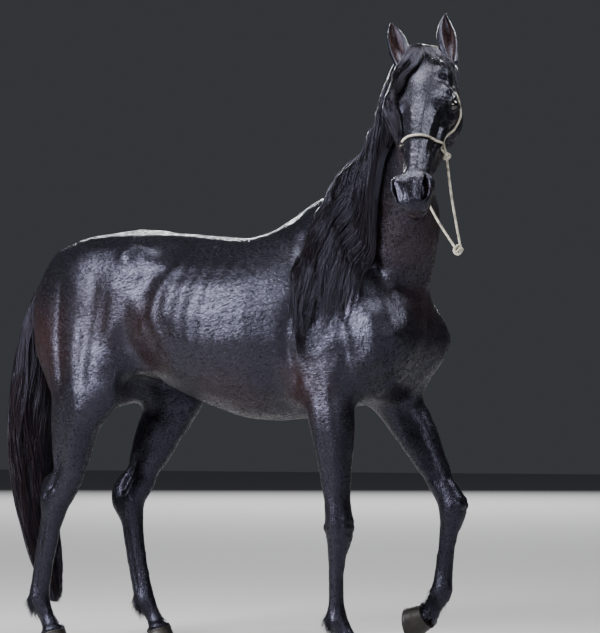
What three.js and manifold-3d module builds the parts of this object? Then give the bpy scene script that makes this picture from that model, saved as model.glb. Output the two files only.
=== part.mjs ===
// A black riding horse at life size, in millimetres, walking with its head turned to its right.
// +X is the way it faces, +Y is its left, +Z is up, and the floor is Z = 0. It wears a rope halter.
// The flesh is one smooth form blended from limbs (chains of oval sections) and lumps (ellipsoids). It is
// meshed a region at a time and parted by thin plane cuts into head, neck, trunk and leg pieces.
import * as THREE from "three";
import { mergeVertices } from "three/addons/utils/BufferGeometryUtils.js";
import Module from "manifold-3d";

const wasm = await Module();
wasm.setup();

// ---- Driving dimensions ----
const seam = 0.35; // gap between two pieces that touch
const eyeRadius = 20;
const ropeRadius = 4.5;
const rad = THREE.MathUtils.degToRad;
const originShift = [-27, 194.3, 0]; // brings the middle of the footprint to the origin

// Head pose: the poll is where the skull meets the neck.
const poll = [871, -348, 1924];
const headYaw = rad(-71);
const headPitch = rad(49);
const headRoll = rad(5);

// Joint places of the walking stance. The left forefoot swings clear of the floor, its hoof turned back.
const stance = {
  fore_right: { elbow: [430, -168, 872], knee: [459, -158, 454], fetlock: [449, -150, 162],
    coronet: [508, -150, 70] },
  fore_left: { elbow: [515, 160, 872], knee: [719, 150, 523], fetlock: [683, 141, 240],
    coronet: [628, 139, 164], hoofTurn: 80 },
  hind_right: { stifle: [-455, -190, 905], hock: [-705, -140, 536], fetlock: [-776, -135, 170],
    coronet: [-715, -135, 70] },
  hind_left: { stifle: [-385, 185, 880], hock: [-583, 135, 528], fetlock: [-506, 133, 162],
    coronet: [-446, 133, 70] },
};
const soleFromCoronet = [18, 0, -70];

// ---- Small vector helpers ----
const add = (a, b) => [a[0] + b[0], a[1] + b[1], a[2] + b[2]];
const sub = (a, b) => [a[0] - b[0], a[1] - b[1], a[2] - b[2]];
const scale = (a, k) => [a[0] * k, a[1] * k, a[2] * k];
const dot = (a, b) => a[0] * b[0] + a[1] * b[1] + a[2] * b[2];
const cross = (a, b) => [a[1] * b[2] - a[2] * b[1], a[2] * b[0] - a[0] * b[2], a[0] * b[1] - a[1] * b[0]];
const unit = (a) => scale(a, 1 / Math.hypot(...a));
const mix = (a, b, t) => add(scale(a, 1 - t), scale(b, t));

// ---- Forms: functions of a point that are negative inside ----

// A limb is a chain of oval sections. Each station is [x, y, z, half depth, half width]; the width is measured
// along side, which is level and square to the limb when it isn't given.
function limb(stations, side) {
  const steps = 4;
  const at = (i) => stations[Math.min(Math.max(i, 0), stations.length - 1)];
  const smooth = (i, t) =>
    at(i).map((_, c) => {
      const [a, b, d, e] = [at(i - 1)[c], at(i)[c], at(i + 1)[c], at(i + 2)[c]];
      return b + 0.5 * t * (d - a + t * (2 * a - 5 * b + 4 * d - e + t * (3 * (b - d) + e - a)));
    });
  const links = [];
  for (let i = 0; i < stations.length - 1; i++)
    for (let s = 0; s < steps; s++) {
      const [a, b] = [smooth(i, s / steps), smooth(i, (s + 1) / steps)];
      const along = sub(b.slice(0, 3), a.slice(0, 3));
      links.push({ a, b, along, level: side || unit(cross([0, 0, 1], along)), length2: dot(along, along) });
    }
  return (x, y, z) => {
    let nearest = Infinity;
    for (const { a, b, along, level, length2 } of links) {
      const [dx, dy, dz] = [x - a[0], y - a[1], z - a[2]];
      const t = Math.min(Math.max((dx * along[0] + dy * along[1] + dz * along[2]) / length2, 0), 1);
      const [qx, qy, qz] = [dx - t * along[0], dy - t * along[1], dz - t * along[2]];
      const across = qx * level[0] + qy * level[1] + qz * level[2];
      const [depth, width] = [a[3] + t * (b[3] - a[3]), a[4] + t * (b[4] - a[4])];
      const all = qx * qx + qy * qy + qz * qz;
      const share = Math.sqrt((across * across) / (width * width) + (all - across * across) / (depth * depth));
      const d = share < 1e-6 ? -Math.min(depth, width) : Math.sqrt(all) * (1 - 1 / share);
      nearest = Math.min(nearest, d);
    }
    return nearest;
  };
}

// A lump is an ellipsoid; turn is [about X, about Y, about Z] in degrees.
function lump(centre, radii, turn = [0, 0, 0]) {
  const m = new THREE.Matrix4().makeRotationFromEuler(new THREE.Euler(...turn.map(rad), "ZYX"))
    .transpose().elements;
  return (x, y, z) => {
    const [dx, dy, dz] = [x - centre[0], y - centre[1], z - centre[2]];
    const qx = m[0] * dx + m[4] * dy + m[8] * dz;
    const qy = m[1] * dx + m[5] * dy + m[9] * dz;
    const qz = m[2] * dx + m[6] * dy + m[10] * dz;
    const share = Math.hypot(qx / radii[0], qy / radii[1], qz / radii[2]);
    return share < 1e-6 ? -Math.min(...radii) : Math.hypot(qx, qy, qz) * (1 - 1 / share);
  };
}

const softMin = (a, b, k) => {
  const h = Math.max(k - Math.abs(a - b), 0);
  return Math.min(a, b) - (h * h) / (4 * k);
};

function blend(k, ...forms) {
  return (x, y, z) => {
    let d = forms[0](x, y, z);
    for (let i = 1; i < forms.length; i++) d = softMin(d, forms[i](x, y, z), k);
    return d;
  };
}

const lengthways = [0, 1, 0]; // the side of a limb that runs fore and aft

// ---- The trunk ----
function trunkForm() {
  const barrel = limb([
    [-600, 0, 1262, 180, 165], [-470, 0, 1240, 235, 215], [-320, 0, 1215, 258, 243], [-180, 0, 1180, 274, 270],
    [-40, 0, 1142, 296, 286], [90, 0, 1122, 312, 284], [215, 0, 1130, 318, 256], [320, 0, 1140, 308, 222],
    [415, 0, 1135, 280, 195], [490, 0, 1120, 225, 178], [545, 0, 1100, 170, 158],
  ], lengthways);
  const spine = limb([
    [-660, 0, 1412, 38, 55], [-540, 0, 1436, 45, 70], [-430, 0, 1444, 45, 78], [-300, 0, 1430, 42, 75],
    [-150, 0, 1413, 40, 68], [0, 0, 1396, 38, 58], [110, 0, 1398, 38, 50], [195, 0, 1440, 44, 42],
    [270, 0, 1497, 50, 38], [350, 0, 1520, 50, 36], [440, 0, 1505, 52, 38],
  ], lengthways);
  const withers = limb([[200, 0, 1360, 90, 90], [320, 0, 1420, 95, 82], [430, 0, 1420, 100, 88]], lengthways);
  const dock = limb([[-640, 0, 1385, 60, 60], [-730, 0, 1374, 42, 40], [-762, 0, 1366, 36, 34]], lengthways);
  const halves = [1, -1].flatMap((s) => [
    limb([[330, s * 62, 1440, 70, 40], [470, s * 120, 1270, 95, 55], [590, s * 135, 1120, 85, 60]], lengthways),
    lump([430, s * 150, 1010], [150, 72, 125], [0, 20, 0]),
    lump([602, s * 142, 1064], [110, 92, 120]),
    lump([520, s * 70, 945], [110, 62, 75]),
    lump([-335, s * 190, 1375], [90, 50, 58], [0, 25, 0]),
    lump([-500, s * 130, 1290], [235, 118, 175], [0, 12, 0]),
    limb([[-690, s * 75, 1385, 62, 60], [-735, s * 110, 1250, 88, 82], [-700, s * 130, 1100, 110, 82],
      [-640, s * 135, 980, 120, 75]], lengthways),
  ]);
  return blend(70, barrel, blend(45, spine, withers), ...halves, dock);
}

// ---- The neck, which bends to the right ----
const neckCore = limb([
  [440, 0, 1265, 225, 150], [560, -22, 1440, 232, 122], [662, -112, 1570, 190, 96], [728, -190, 1680, 150, 80],
  [780, -256, 1778, 122, 70], [832, -318, 1862, 92, 62],
]);
const crest = limb([
  [420, -20, 1590, 30, 24], [500, -92, 1690, 32, 24], [595, -165, 1768, 32, 24], [690, -240, 1842, 30, 24],
  [790, -300, 1905, 30, 26],
]);

// ---- The head, shaped in its own frame: u runs from poll to muzzle, v is left, w is the face's side ----
const headAxes = (() => {
  const u = [Math.cos(headYaw) * Math.cos(headPitch), Math.sin(headYaw) * Math.cos(headPitch),
    -Math.sin(headPitch)];
  const level = [-Math.sin(headYaw), Math.cos(headYaw), 0];
  const raised = cross(u, level);
  return {
    u,
    v: add(scale(level, Math.cos(headRoll)), scale(raised, Math.sin(headRoll))),
    w: add(scale(raised, Math.cos(headRoll)), scale(level, -Math.sin(headRoll))),
  };
})();
const headToWorld = ([a, b, c]) =>
  add(poll, add(scale(headAxes.u, a), add(scale(headAxes.v, b), scale(headAxes.w, c))));
const worldToHead = (p) => {
  const d = sub(p, poll);
  return [dot(d, headAxes.u), dot(d, headAxes.v), dot(d, headAxes.w)];
};

function headFormLocal() {
  const skull = limb([
    [12, 0, -58, 60, 56], [90, 0, -54, 68, 74], [165, 0, -58, 72, 82], [240, 0, -62, 66, 70],
    [320, 0, -68, 60, 52], [400, 0, -77, 55, 42], [470, 0, -84, 52, 38], [530, 0, -90, 50, 40],
    [568, 0, -94, 42, 40],
  ], lengthways);
  const jaw = limb([
    [70, 0, -165, 52, 48], [135, 0, -165, 64, 60], [200, 0, -154, 62, 60], [280, 0, -136, 50, 54],
    [360, 0, -126, 40, 46], [440, 0, -120, 32, 34], [520, 0, -124, 26, 28], [560, 0, -130, 22, 27],
  ], lengthways);
  const sides = [1, -1].flatMap((s) => [
    lump([145, s * 62, -138], [86, 37, 78], [0, 20, 0]),
    lump([198, s * 77, -42], [54, 30, 40]),
    lump([90, s * 60, -32], [66, 32, 46]),
    limb([[150, s * 80, -74, 18, 15], [225, s * 82, -80, 19, 16], [300, s * 62, -84, 14, 12], [370, s * 44, -88, 9, 8]],
      lengthways),
    lump([538, s * 40, -66], [34, 22, 32], [0, 20, 0]),
    lump([575, s * 24, -96], [28, 24, 28]),
  ]);
  const chin = lump([558, 0, -143], [30, 30, 22]);
  const brow = lump([130, 0, -28], [90, 62, 44]);
  return blend(22, skull, jaw, brow, ...sides, chin);
}
const headLocal = headFormLocal();
const headForm = (x, y, z) => headLocal(...worldToHead([x, y, z]));

// ---- Legs: stations are [share of the way, further forward, half depth, half width] ----
const between = (a, b, list) => list.map(([t, forward, depth, width]) =>
  [...add(mix(a, b, t), [forward, 0, 0]), depth, width]);
const pastern = [[0.45, 0, 31, 29], [0.8, 0, 33, 31], [1.05, 0, 41, 40]];

function foreLegForm({ elbow, knee, fetlock, coronet }) {
  const shaft = limb([
    ...between(elbow, knee, [[-0.16, -18, 94, 58], [0.08, 0, 88, 62], [0.3, 6, 77, 56], [0.55, 4, 61, 47],
      [0.8, 2, 48, 41], [0.93, 3, 48, 43], [1.0, 3, 49, 45]]),
    ...between(knee, fetlock, [[0.12, 1, 44, 41], [0.27, -4, 35, 29], [0.5, -6, 32, 24], [0.75, -6, 32, 24],
      [0.92, -5, 36, 29], [1.0, -4, 39, 33]]),
    ...between(fetlock, coronet, pastern),
  ], lengthways);
  const pointOfElbow = lump(add(elbow, [-78, 0, 38]), [42, 30, 60], [0, 25, 0]);
  return blend(24, shaft, pointOfElbow);
}

// The right hind leg trails, so its thigh and gaskin hang further back from the stifle than the left's.
const hindFlesh = {
  hind_right: {
    thigh: [[0.1, -10, 175, 95], [0.45, -32, 165, 92], [0.8, -48, 150, 82], [1.0, -85, 132, 72]],
    gaskin: [[0.25, -74, 106, 60], [0.5, -33, 86, 50], [0.75, 6, 64, 38], [0.93, 10, 60, 38], [1.05, 6, 54, 40]],
  },
  hind_left: {
    thigh: [[0.1, -10, 175, 95], [0.45, -20, 160, 92], [0.8, -20, 128, 78], [1.0, -25, 105, 66]],
    gaskin: [[0.25, -32, 98, 60], [0.5, -24, 87, 50], [0.75, -10, 73, 38], [0.93, 0, 64, 38], [1.05, 2, 56, 40]],
  },
};

function hindLegForm({ stifle, hock, fetlock, coronet }, { thigh, gaskin }) {
  const hip = [-560, stifle[1] * 0.75, 1190];
  const shaft = limb([
    ...between(hip, stifle, thigh),
    ...between(stifle, hock, gaskin),
    ...between(hock, fetlock, [[0.1, 2, 52, 38], [0.24, -4, 46, 31], [0.5, -8, 42, 28], [0.78, -8, 41, 28],
      [0.93, -4, 41, 31], [1.0, -3, 42, 35]]),
    ...between(fetlock, coronet, pastern),
  ], lengthways);
  const pointOfHock = add(add(hock, scale(unit(sub(hock, fetlock)), 48)), [-52, 0, 0]);
  const tendon = limb([
    [...add(mix(stifle, hock, 0.3), [-62, 0, 22]), 48, 40], [...add(mix(stifle, hock, 0.7), [-46, 0, 10]), 20, 18],
    [...pointOfHock, 21, 20], [...add(hock, [-44, 0, -20]), 18, 20],
  ], lengthways);
  const kneecap = lump(add(stifle, [32, 0, 34]), [58, 48, 76], [0, -20, 0]);
  return blend(26, shaft, tendon, kneecap);
}

const legs = Object.fromEntries(Object.entries(stance).map(([name, joints]) =>
  [name, joints.knee ? foreLegForm(joints) : hindLegForm(joints, hindFlesh[name])]));
const torso = blend(60, trunkForm(), blend(40, neckCore, crest));
const torsoAndHead = (x, y, z) => softMin(torso(x, y, z), headForm(x, y, z), 30);
const torsoAndLegs = (x, y, z) =>
  Object.values(legs).reduce((d, leg) => softMin(d, leg(x, y, z), 45), torso(x, y, z));

// ---- Meshing a form inside a box: each loop the surface makes through a cell gives one vertex ----
const cubeCorners = [0, 1, 2, 3, 4, 5, 6, 7].map((c) => [c & 1, (c >> 1) & 1, (c >> 2) & 1]);
const cubeEdges = cubeCorners.flatMap((_, c) => [1, 2, 4].filter((b) => !(c & b)).map((b) => [c, c | b]));
const cubeFaces = [1, 2, 4].flatMap((bit) => [0, bit].map((side) => (c) => (c & bit) === side));

// For each pattern of inside corners: the loop that each crossed edge belongs to, or -1 where it isn't crossed.
const loopTable = Array.from({ length: 256 }, (_, code) => {
  const inside = (c) => (code >> c) & 1;
  const label = cubeEdges.map(([a, b], e) => (inside(a) === inside(b) ? -1 : e));
  const join = (e, g) => {
    const [from, to] = [label[e], label[g]];
    label.forEach((l, i) => { if (l === from) label[i] = to; });
  };
  for (const onFace of cubeFaces) {
    const crossed = cubeEdges.map((_, e) => e).filter((e) => label[e] >= 0 && cubeEdges[e].every(onFace));
    if (crossed.length === 2) join(...crossed);
    if (crossed.length === 4)
      for (let c = 0; c < 8; c++)
        if (inside(c) && onFace(c)) join(...crossed.filter((e) => cubeEdges[e].includes(c)));
  }
  return label;
});

function surfaceOf(form, low, high, cell) {
  const size = low.map((l, c) => Math.round((high[c] - l) / cell[c]) + 1);
  const top = low.map((l, c) => l + (size[c] - 1) * cell[c]);
  const f = (x, y, z) => [x, y, z].reduce((d, p, c) =>
    Math.max(d, low[c] + cell[c] * 0.7 - p, p - top[c] + cell[c] * 0.7), form(x, y, z));
  const value = new Float64Array(size[0] * size[1] * size[2]);
  const index = (i, j, k) => (k * size[1] + j) * size[0] + i;
  const place = (i, j, k) => [low[0] + i * cell[0], low[1] + j * cell[1], low[2] + k * cell[2]];
  const everyCell = (less, visit) => {
    for (let k = 0; k < size[2] - less; k++)
      for (let j = 0; j < size[1] - less; j++)
        for (let i = 0; i < size[0] - less; i++) visit(i, j, k);
  };
  everyCell(0, (i, j, k) => { value[index(i, j, k)] = f(...place(i, j, k)); });

  const vertexOf = new Map();
  const points = [];
  everyCell(1, (i, j, k) => {
    const v = cubeCorners.map(([a, b, c]) => value[index(i + a, j + b, k + c)]);
    const code = v.reduce((sum, x, c) => sum + (x < 0 ? 1 << c : 0), 0);
    if (code === 0 || code === 255) return;
    const labels = loopTable[code];
    for (const loop of new Set(labels.filter((l) => l >= 0))) {
      let sum = [0, 0, 0];
      let count = 0;
      labels.forEach((l, e) => {
        if (l !== loop) return;
        const [a, b] = cubeEdges[e];
        sum = add(sum, mix(cubeCorners[a], cubeCorners[b], v[a] / (v[a] - v[b])));
        vertexOf.set(index(i, j, k) * 12 + e, points.length);
        count++;
      });
      points.push(place(i, j, k).map((p, c) => p + (sum[c] / count) * cell[c]));
    }
  });
  settle(points, f);

  const triangles = [];
  const gap = (a, b) => Math.hypot(...sub(points[a], points[b]));
  everyCell(1, (i, j, k) => {
    const here = value[index(i, j, k)] < 0;
    for (let axis = 0; axis < 3; axis++) {
      const step = [0, 0, 0];
      step[axis] = 1;
      if (here === value[index(i + step[0], j + step[1], k + step[2])] < 0) continue;
      const [p, q] = [(axis + 1) % 3, (axis + 2) % 3];
      const loop = [[0, 0], [1, 0], [1, 1], [0, 1]].map(([a, b]) => {
        const cellAt = [i, j, k];
        cellAt[p] -= a;
        cellAt[q] -= b;
        const corner = (a << p) | (b << q);
        const e = cubeEdges.findIndex(([m, n]) => m === corner && n === (corner | (1 << axis)));
        return vertexOf.get(index(...cellAt) * 12 + e);
      });
      if (!here) loop.reverse();
      const [a, b, c, d] = gap(loop[0], loop[2]) < gap(loop[1], loop[3]) ? loop : [...loop.slice(1), loop[0]];
      triangles.push(a, b, c, a, c, d);
    }
  });
  return { points, triangles };
}

function slopeOf(f, p) {
  const step = 0.5;
  const here = f(...p);
  const slope = [0, 1, 2].map((c) => {
    const q = [...p];
    q[c] += step;
    return (f(...q) - here) / step;
  });
  return { here, slope };
}

// Moves points along the form's slope until they lie on its surface.
function settle(points, f) {
  for (const p of points)
    for (let round = 0; round < 3; round++) {
      const { here, slope } = slopeOf(f, p);
      const steep = dot(slope, slope);
      if (steep > 0.05) for (let c = 0; c < 3; c++) p[c] -= (slope[c] * here) / steep;
    }
}

// ---- Solids and cuts ----
function solid(points, triangles) {
  return new wasm.Manifold(new wasm.Mesh({
    numProp: 3,
    vertProperties: new Float32Array(points.flat()),
    triVerts: new Uint32Array(triangles),
  }));
}

function fromGeometry(geometry) {
  const g = geometry.clone();
  for (const name of Object.keys(g.attributes)) if (name !== "position") g.deleteAttribute(name);
  const merged = mergeVertices(g, 1e-3);
  return new wasm.Manifold(new wasm.Mesh({
    numProp: 3,
    vertProperties: merged.attributes.position.array,
    triVerts: new Uint32Array(merged.index.array),
  }));
}

const largest = (s) => s.decompose().sort((a, b) => b.volume() - a.volume())[0];

// A cut is a plane through point; ahead keeps what lies on its normal's side, behind keeps the rest.
function halfSpace({ point, normal }, shift) {
  const reach = 4000;
  const turn = new THREE.Quaternion()
    .setFromUnitVectors(new THREE.Vector3(0, 0, 1), new THREE.Vector3(...unit(normal)));
  const g = new THREE.BoxGeometry(reach, reach, reach).translate(0, 0, -reach / 2);
  return fromGeometry(g.applyQuaternion(turn).translate(...add(point, scale(unit(normal), shift))));
}
const behind = (s, cut) => s.intersect(halfSpace(cut, -seam / 2));
const ahead = (s, cut) => s.subtract(halfSpace(cut, seam / 2));

function boxBetween(a, b) {
  const [low, high] = [a.map((p, c) => Math.min(p, b[c])), a.map((p, c) => Math.max(p, b[c]))];
  return fromGeometry(new THREE.BoxGeometry(...sub(high, low)).translate(...mix(low, high, 0.5)));
}

// A region of flesh: body is its solid, and swollen is the same solid a hair larger, which cuts what lies on it.
function region(form, low, high, cell, place = (p) => p) {
  const { points, triangles } = surfaceOf(form, low, high, cell);
  const outward = points.map((p) => add(p, scale(unit(slopeOf(form, p).slope), seam)));
  return {
    body: largest(solid(points.map(place), triangles)),
    swollen: largest(solid(outward.map(place), triangles)),
  };
}

// Rings of points joined into a closed solid, each end closed by a fan from its middle.
function loft(rings) {
  const n = rings[0].length;
  const points = rings.flat();
  const triangles = [];
  for (let r = 0; r < rings.length - 1; r++)
    for (let i = 0; i < n; i++) {
      const [a, b] = [r * n + i, r * n + ((i + 1) % n)];
      triangles.push(a, b, b + n, a, b + n, a + n);
    }
  for (const r of [0, rings.length - 1]) {
    const middle = points.length;
    points.push(scale(rings[r].reduce(add, [0, 0, 0]), 1 / n));
    for (let i = 0; i < n; i++) {
      const [a, b] = [r * n + i, r * n + ((i + 1) % n)];
      triangles.push(...(r === 0 ? [b, a, middle] : [a, b, middle]));
    }
  }
  const made = solid(points, triangles);
  return made.volume() > 0 ? made : solid(points, triangles.reverse());
}

const meshes = new Map();
function addPiece(name, s, material) {
  const m = largest(s).getMesh();
  const g = new THREE.BufferGeometry();
  const positions = new Float32Array(m.numVert * 3);
  for (let i = 0; i < m.numVert; i++)
    positions.set(m.vertProperties.subarray(i * m.numProp, i * m.numProp + 3), i * 3);
  g.setAttribute("position", new THREE.BufferAttribute(positions, 3));
  g.setIndex(new THREE.BufferAttribute(m.triVerts, 1));
  g.computeVertexNormals();
  const mesh = new THREE.Mesh(g, material);
  mesh.name = name;
  meshes.set(name, mesh);
}

// ---- Materials ----
const blackCoat = new THREE.MeshStandardMaterial({ color: 0x17151a, roughness: 0.42, metalness: 0 });
const blackHair = new THREE.MeshStandardMaterial({ color: 0x100f12, roughness: 0.5, metalness: 0 });
const horn = new THREE.MeshStandardMaterial({ color: 0x2b2622, roughness: 0.55, metalness: 0 });
const eyeball = new THREE.MeshStandardMaterial({ color: 0x0b0807, roughness: 0.08, metalness: 0 });
const ropeCotton = new THREE.MeshStandardMaterial({ color: 0xd9d2c2, roughness: 0.85, metalness: 0 });

// ---- Flesh, region by region ----
const trunkRegion = region(torsoAndLegs, [-900, -376, 730], [860, 376, 1700], [100, 84, 96]);
const neckRegion = region(torsoAndHead, [300, -560, 1060], [1010, 230, 2050], [66, 62, 68]);
const headOnNeck = (a, b, c) => torsoAndHead(...headToWorld([a, b, c]));
const headRegion = region(headOnNeck,
  [-90, -132, -330], [640, 132, 60], [31, 27, 29], headToWorld);
const neckBase = { point: [400, 0, 1585], normal: [0.826, 0, 0.564] };
const throat = { point: headToWorld([-38, 0, 0]), normal: add(scale(headAxes.u, 0.9), scale(headAxes.w, 0.436)) };
const thigh = { point: [-300, 0, 962], normal: [-0.16, 0, 0.987] };

// The block of space that a leg is cut off with, grown on every face.
function legSpace(name, grow) {
  const side = stance[name].fetlock[1] > 0 ? 1 : -1;
  if (stance[name].knee)
    return boxBetween([300 - grow, side * (88 - grow), -50], [900, side * 340, 862 + grow]);
  return boxBetween([-1000, side * -grow, -50], [-296 + grow, side * 340, 1200]).intersect(halfSpace(thigh, grow));
}

// The block of space that holds the head: ahead of the throat's cut and clear of the neck's right side.
function headSpace(grow) {
  const axes = new THREE.Matrix4().makeBasis(...["u", "v", "w"].map((a) => new THREE.Vector3(...headAxes[a])));
  const [low, high] = [[-200, -108 - grow, -308 - grow], [700, 200 + grow, 120 + grow]];
  const g = new THREE.BoxGeometry(...sub(high, low)).translate(...mix(low, high, 0.5));
  return fromGeometry(g.applyMatrix4(axes).translate(...poll)).subtract(halfSpace(throat, -grow));
}

let trunkBody = behind(trunkRegion.body, neckBase);
for (const name of Object.keys(stance)) trunkBody = trunkBody.subtract(legSpace(name, seam));
addPiece("trunk", trunkBody, blackCoat);
const neckBody = ahead(neckRegion.body, neckBase).subtract(headSpace(seam / 2));
addPiece("neck", neckBody, blackCoat);

// What lies on the flesh is cut by the swollen regions, each in its own part of the body.
const swollen = [
  trunkRegion.swollen.intersect(halfSpace(neckBase, 0)),
  neckRegion.swollen.subtract(halfSpace(neckBase, 0)).subtract(headSpace(0)),
  headRegion.swollen.intersect(headSpace(0)),
];
const offFlesh = (s) => swollen.reduce((rest, piece) => rest.subtract(piece), s);

// ---- Legs and hooves ----
// Rings from the sole up to the coronet, with the toe further out than the heel.
function hoof({ coronet, hoofTurn = 0 }, halfWidth) {
  const sides = 12;
  const turn = rad(hoofTurn);
  const ring = ([x, z], width, front, back, lean) =>
    Array.from({ length: sides }, (_, i) => {
      const angle = (i / sides) * 2 * Math.PI;
      const reach = Math.cos(angle) > 0 ? front : back;
      const px = soleFromCoronet[0] + x + Math.cos(angle) * reach;
      const pz = soleFromCoronet[2] + z + Math.cos(angle) * lean;
      return add(coronet, [px * Math.cos(turn) + pz * Math.sin(turn), Math.sin(angle) * width,
        pz * Math.cos(turn) - px * Math.sin(turn)]);
    });
  return loft([
    ring([-2, 0], halfWidth, 68, 54, 0),
    ring([-3, 9], halfWidth, 65, 54, 0),
    ring([-17, 58], halfWidth * 0.8, 45, 42, 10),
    ring([-18, 78], halfWidth * 0.74, 40, 38, 11),
  ]);
}

for (const [name, joints] of Object.entries(stance)) {
  const { knee, hock, coronet, hoofTurn = 0 } = joints;
  const places = Object.values(joints).filter(Array.isArray);
  const low = [0, 1, 2].map((c) => Math.min(...places.map((p) => p[c])));
  const high = [0, 1, 2].map((c) => Math.max(...places.map((p) => p[c])));
  const split = { point: add(knee || hock, [0, 0, 95]), normal: [0, 0, 1] };
  const splitHeight = split.point[2];
  const upper = region((x, y, z) => softMin(torso(x, y, z), legs[name](x, y, z), 45),
    [low[0] - 190, low[1] - 140, splitHeight - 80], [high[0] + 190, high[1] + 140, 1030],
    knee ? [46, 42, 60] : [56, 50, 66]);
  const lower = region(legs[name],
    [low[0] - 110, low[1] - 80, low[2] - 60], [high[0] + 110, high[1] + 80, splitHeight + 60], [28, 24, 50]);
  const [c, s] = [Math.cos(rad(hoofTurn)), Math.sin(rad(hoofTurn))];
  const hairline = { point: coronet, normal: [s - 0.28 * c, 0, c + 0.28 * s] };
  addPiece(name + "_upper", ahead(upper.body.intersect(legSpace(name, 0)), split), blackCoat);
  addPiece(name + "_lower", ahead(behind(lower.body, split), hairline), blackCoat);
  addPiece(name + "_hoof", behind(hoof(joints, knee ? 59 : 54), hairline), horn);
}

// ---- Head, eyes and ears ----
const ball = (side, radius) =>
  fromGeometry(new THREE.SphereGeometry(radius, 9, 6).translate(...headToWorld([206, side * 93, -48])));
const eyeSockets = ball(1, eyeRadius + seam).add(ball(-1, eyeRadius + seam));
addPiece("eye_right", ball(-1, eyeRadius), eyeball);
addPiece("eye_left", ball(1, eyeRadius), eyeball);
addPiece("head", headRegion.body.intersect(headSpace(-seam / 2)).subtract(eyeSockets), blackCoat);

// A cupped leaf from base to tip, its hollow facing open. Places are in the head's frame.
function ear(base, tip, open) {
  const rise = unit(sub(tip, base));
  const back = unit(sub(scale(rise, dot(open, rise)), open));
  const across = cross(rise, back);
  const length = Math.hypot(...sub(tip, base));
  const stations = [[-0.14, 20, 17, 0.95], [0.1, 27, 21, 0.45], [0.35, 33, 22, 0.26], [0.6, 31, 18, 0.26],
    [0.82, 19, 12, 0.36], [1.0, 4, 4, 0.8]];
  const rings = stations.map(([t, wide, deep, wall]) => {
    const centre = add(add(base, scale(rise, t * length)), scale(back, 10 * Math.sin(Math.PI * t)));
    const arc = (count, widest, k) => Array.from({ length: count }, (_, i) => {
      const angle = rad(widest * ((2 * i) / (count - 1) - 1));
      return add(centre, add(scale(across, Math.sin(angle) * wide * k), scale(back, Math.cos(angle) * deep * k)));
    });
    return [...arc(8, 140, 1), ...arc(6, 122, 1 - wall).reverse()];
  });
  return loft(rings.map((ring) => ring.map(headToWorld)));
}
const ears = {
  ear_right: ear([8, -74, -20], [-136, -112, 36], [0.25, -0.1, 0.93]),
  ear_left: ear([8, 78, -20], [-141, 60, 40], [0.2, 0.5, 0.8]),
};

// ---- Hair: sheets of locks laid on the flesh ----
// Guides run from root to tip, back to front. Between them the sheet is smooth; each of its places is brought on
// to the form's surface, then the inner side is raised clear of the flesh and the outer side by the hair's depth.
function sheet(form, guides, rows, columns, clear, depth, place = (p) => p) {
  const curve = (points) => new THREE.CatmullRomCurve3(points.map((p) => new THREE.Vector3(...p)));
  const along = guides.map((guide) => curve(guide).getSpacedPoints(columns - 1));
  const across = Array.from({ length: columns }, (_, c) => curve(along.map((g) => g[c].toArray())));
  const outer = [];
  const inner = [];
  for (let r = 0; r < rows; r++)
    for (let c = 0; c < columns; c++) {
      const tooth = c === columns - 1 ? 0.5 - (r % 2) : 0;
      const [s, t] = [r / (rows - 1), (c + tooth * 0.7) / (columns - 1)];
      const spot = across[c].getPoint(s);
      const before = across[c === columns - 1 ? c - 1 : c].getPoint(s);
      const p = spot.add(spot.clone().sub(before).multiplyScalar(tooth * 0.7)).toArray();
      settle([p], form);
      const normal = unit(slopeOf(form, p).slope);
      const rim = Math.min(1, 4 * Math.min(s, 1 - s), 6 * (1 - Math.min(t, 1)));
      outer.push(place(add(p, scale(normal, clear + (depth - clear) * (0.45 + 0.55 * Math.max(rim, 0))))));
      inner.push(place(add(p, scale(normal, clear))));
    }
  const triangles = [];
  const count = outer.length;
  const at = (r, c) => r * columns + c;
  for (let r = 0; r < rows - 1; r++)
    for (let c = 0; c < columns - 1; c++) {
      const quad = [at(r, c), at(r + 1, c), at(r + 1, c + 1), at(r, c + 1)];
      const [i, j, k, l] = quad;
      triangles.push(i, j, k, i, k, l, j + count, i + count, k + count, k + count, i + count, l + count);
    }
  const rim = [];
  for (let r = 0; r < rows - 1; r++) rim.push(at(r, 0));
  for (let c = 0; c < columns - 1; c++) rim.push(at(rows - 1, c));
  for (let r = rows - 1; r > 0; r--) rim.push(at(r, columns - 1));
  for (let c = columns - 1; c > 0; c--) rim.push(at(0, c));
  rim.forEach((a, n) => {
    const b = rim[(n + 1) % rim.length];
    triangles.push(b, a, a + count, b, a + count, b + count);
  });
  const made = solid([...outer, ...inner], triangles);
  return made.volume() > 0 ? made : solid([...outer, ...inner], triangles.reverse());
}

const mane = sheet(torsoAndHead, [
  [[395, -30, 1570], [352, -150, 1460], [338, -220, 1340], [330, -250, 1220], [322, -255, 1140], [322, -260, 1090]],
  [[505, -100, 1722], [445, -215, 1570], [400, -250, 1400], [380, -255, 1230], [370, -255, 1080], [368, -255, 965]],
  [[640, -205, 1840], [585, -275, 1690], [545, -280, 1520], [505, -255, 1350], [482, -235, 1180], [462, -225, 1030]],
  [[735, -275, 1912], [690, -320, 1780], [640, -300, 1600], [600, -270, 1450], [560, -245, 1290], [528, -228, 1110]],
  [[795, -303, 1940], headToWorld([-30, -75, -85]), headToWorld([70, -98, -175]), [690, -285, 1640],
    [640, -255, 1520], [614, -236, 1360], [590, -228, 1230]],
], 13, 12, 7, 30);

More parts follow.
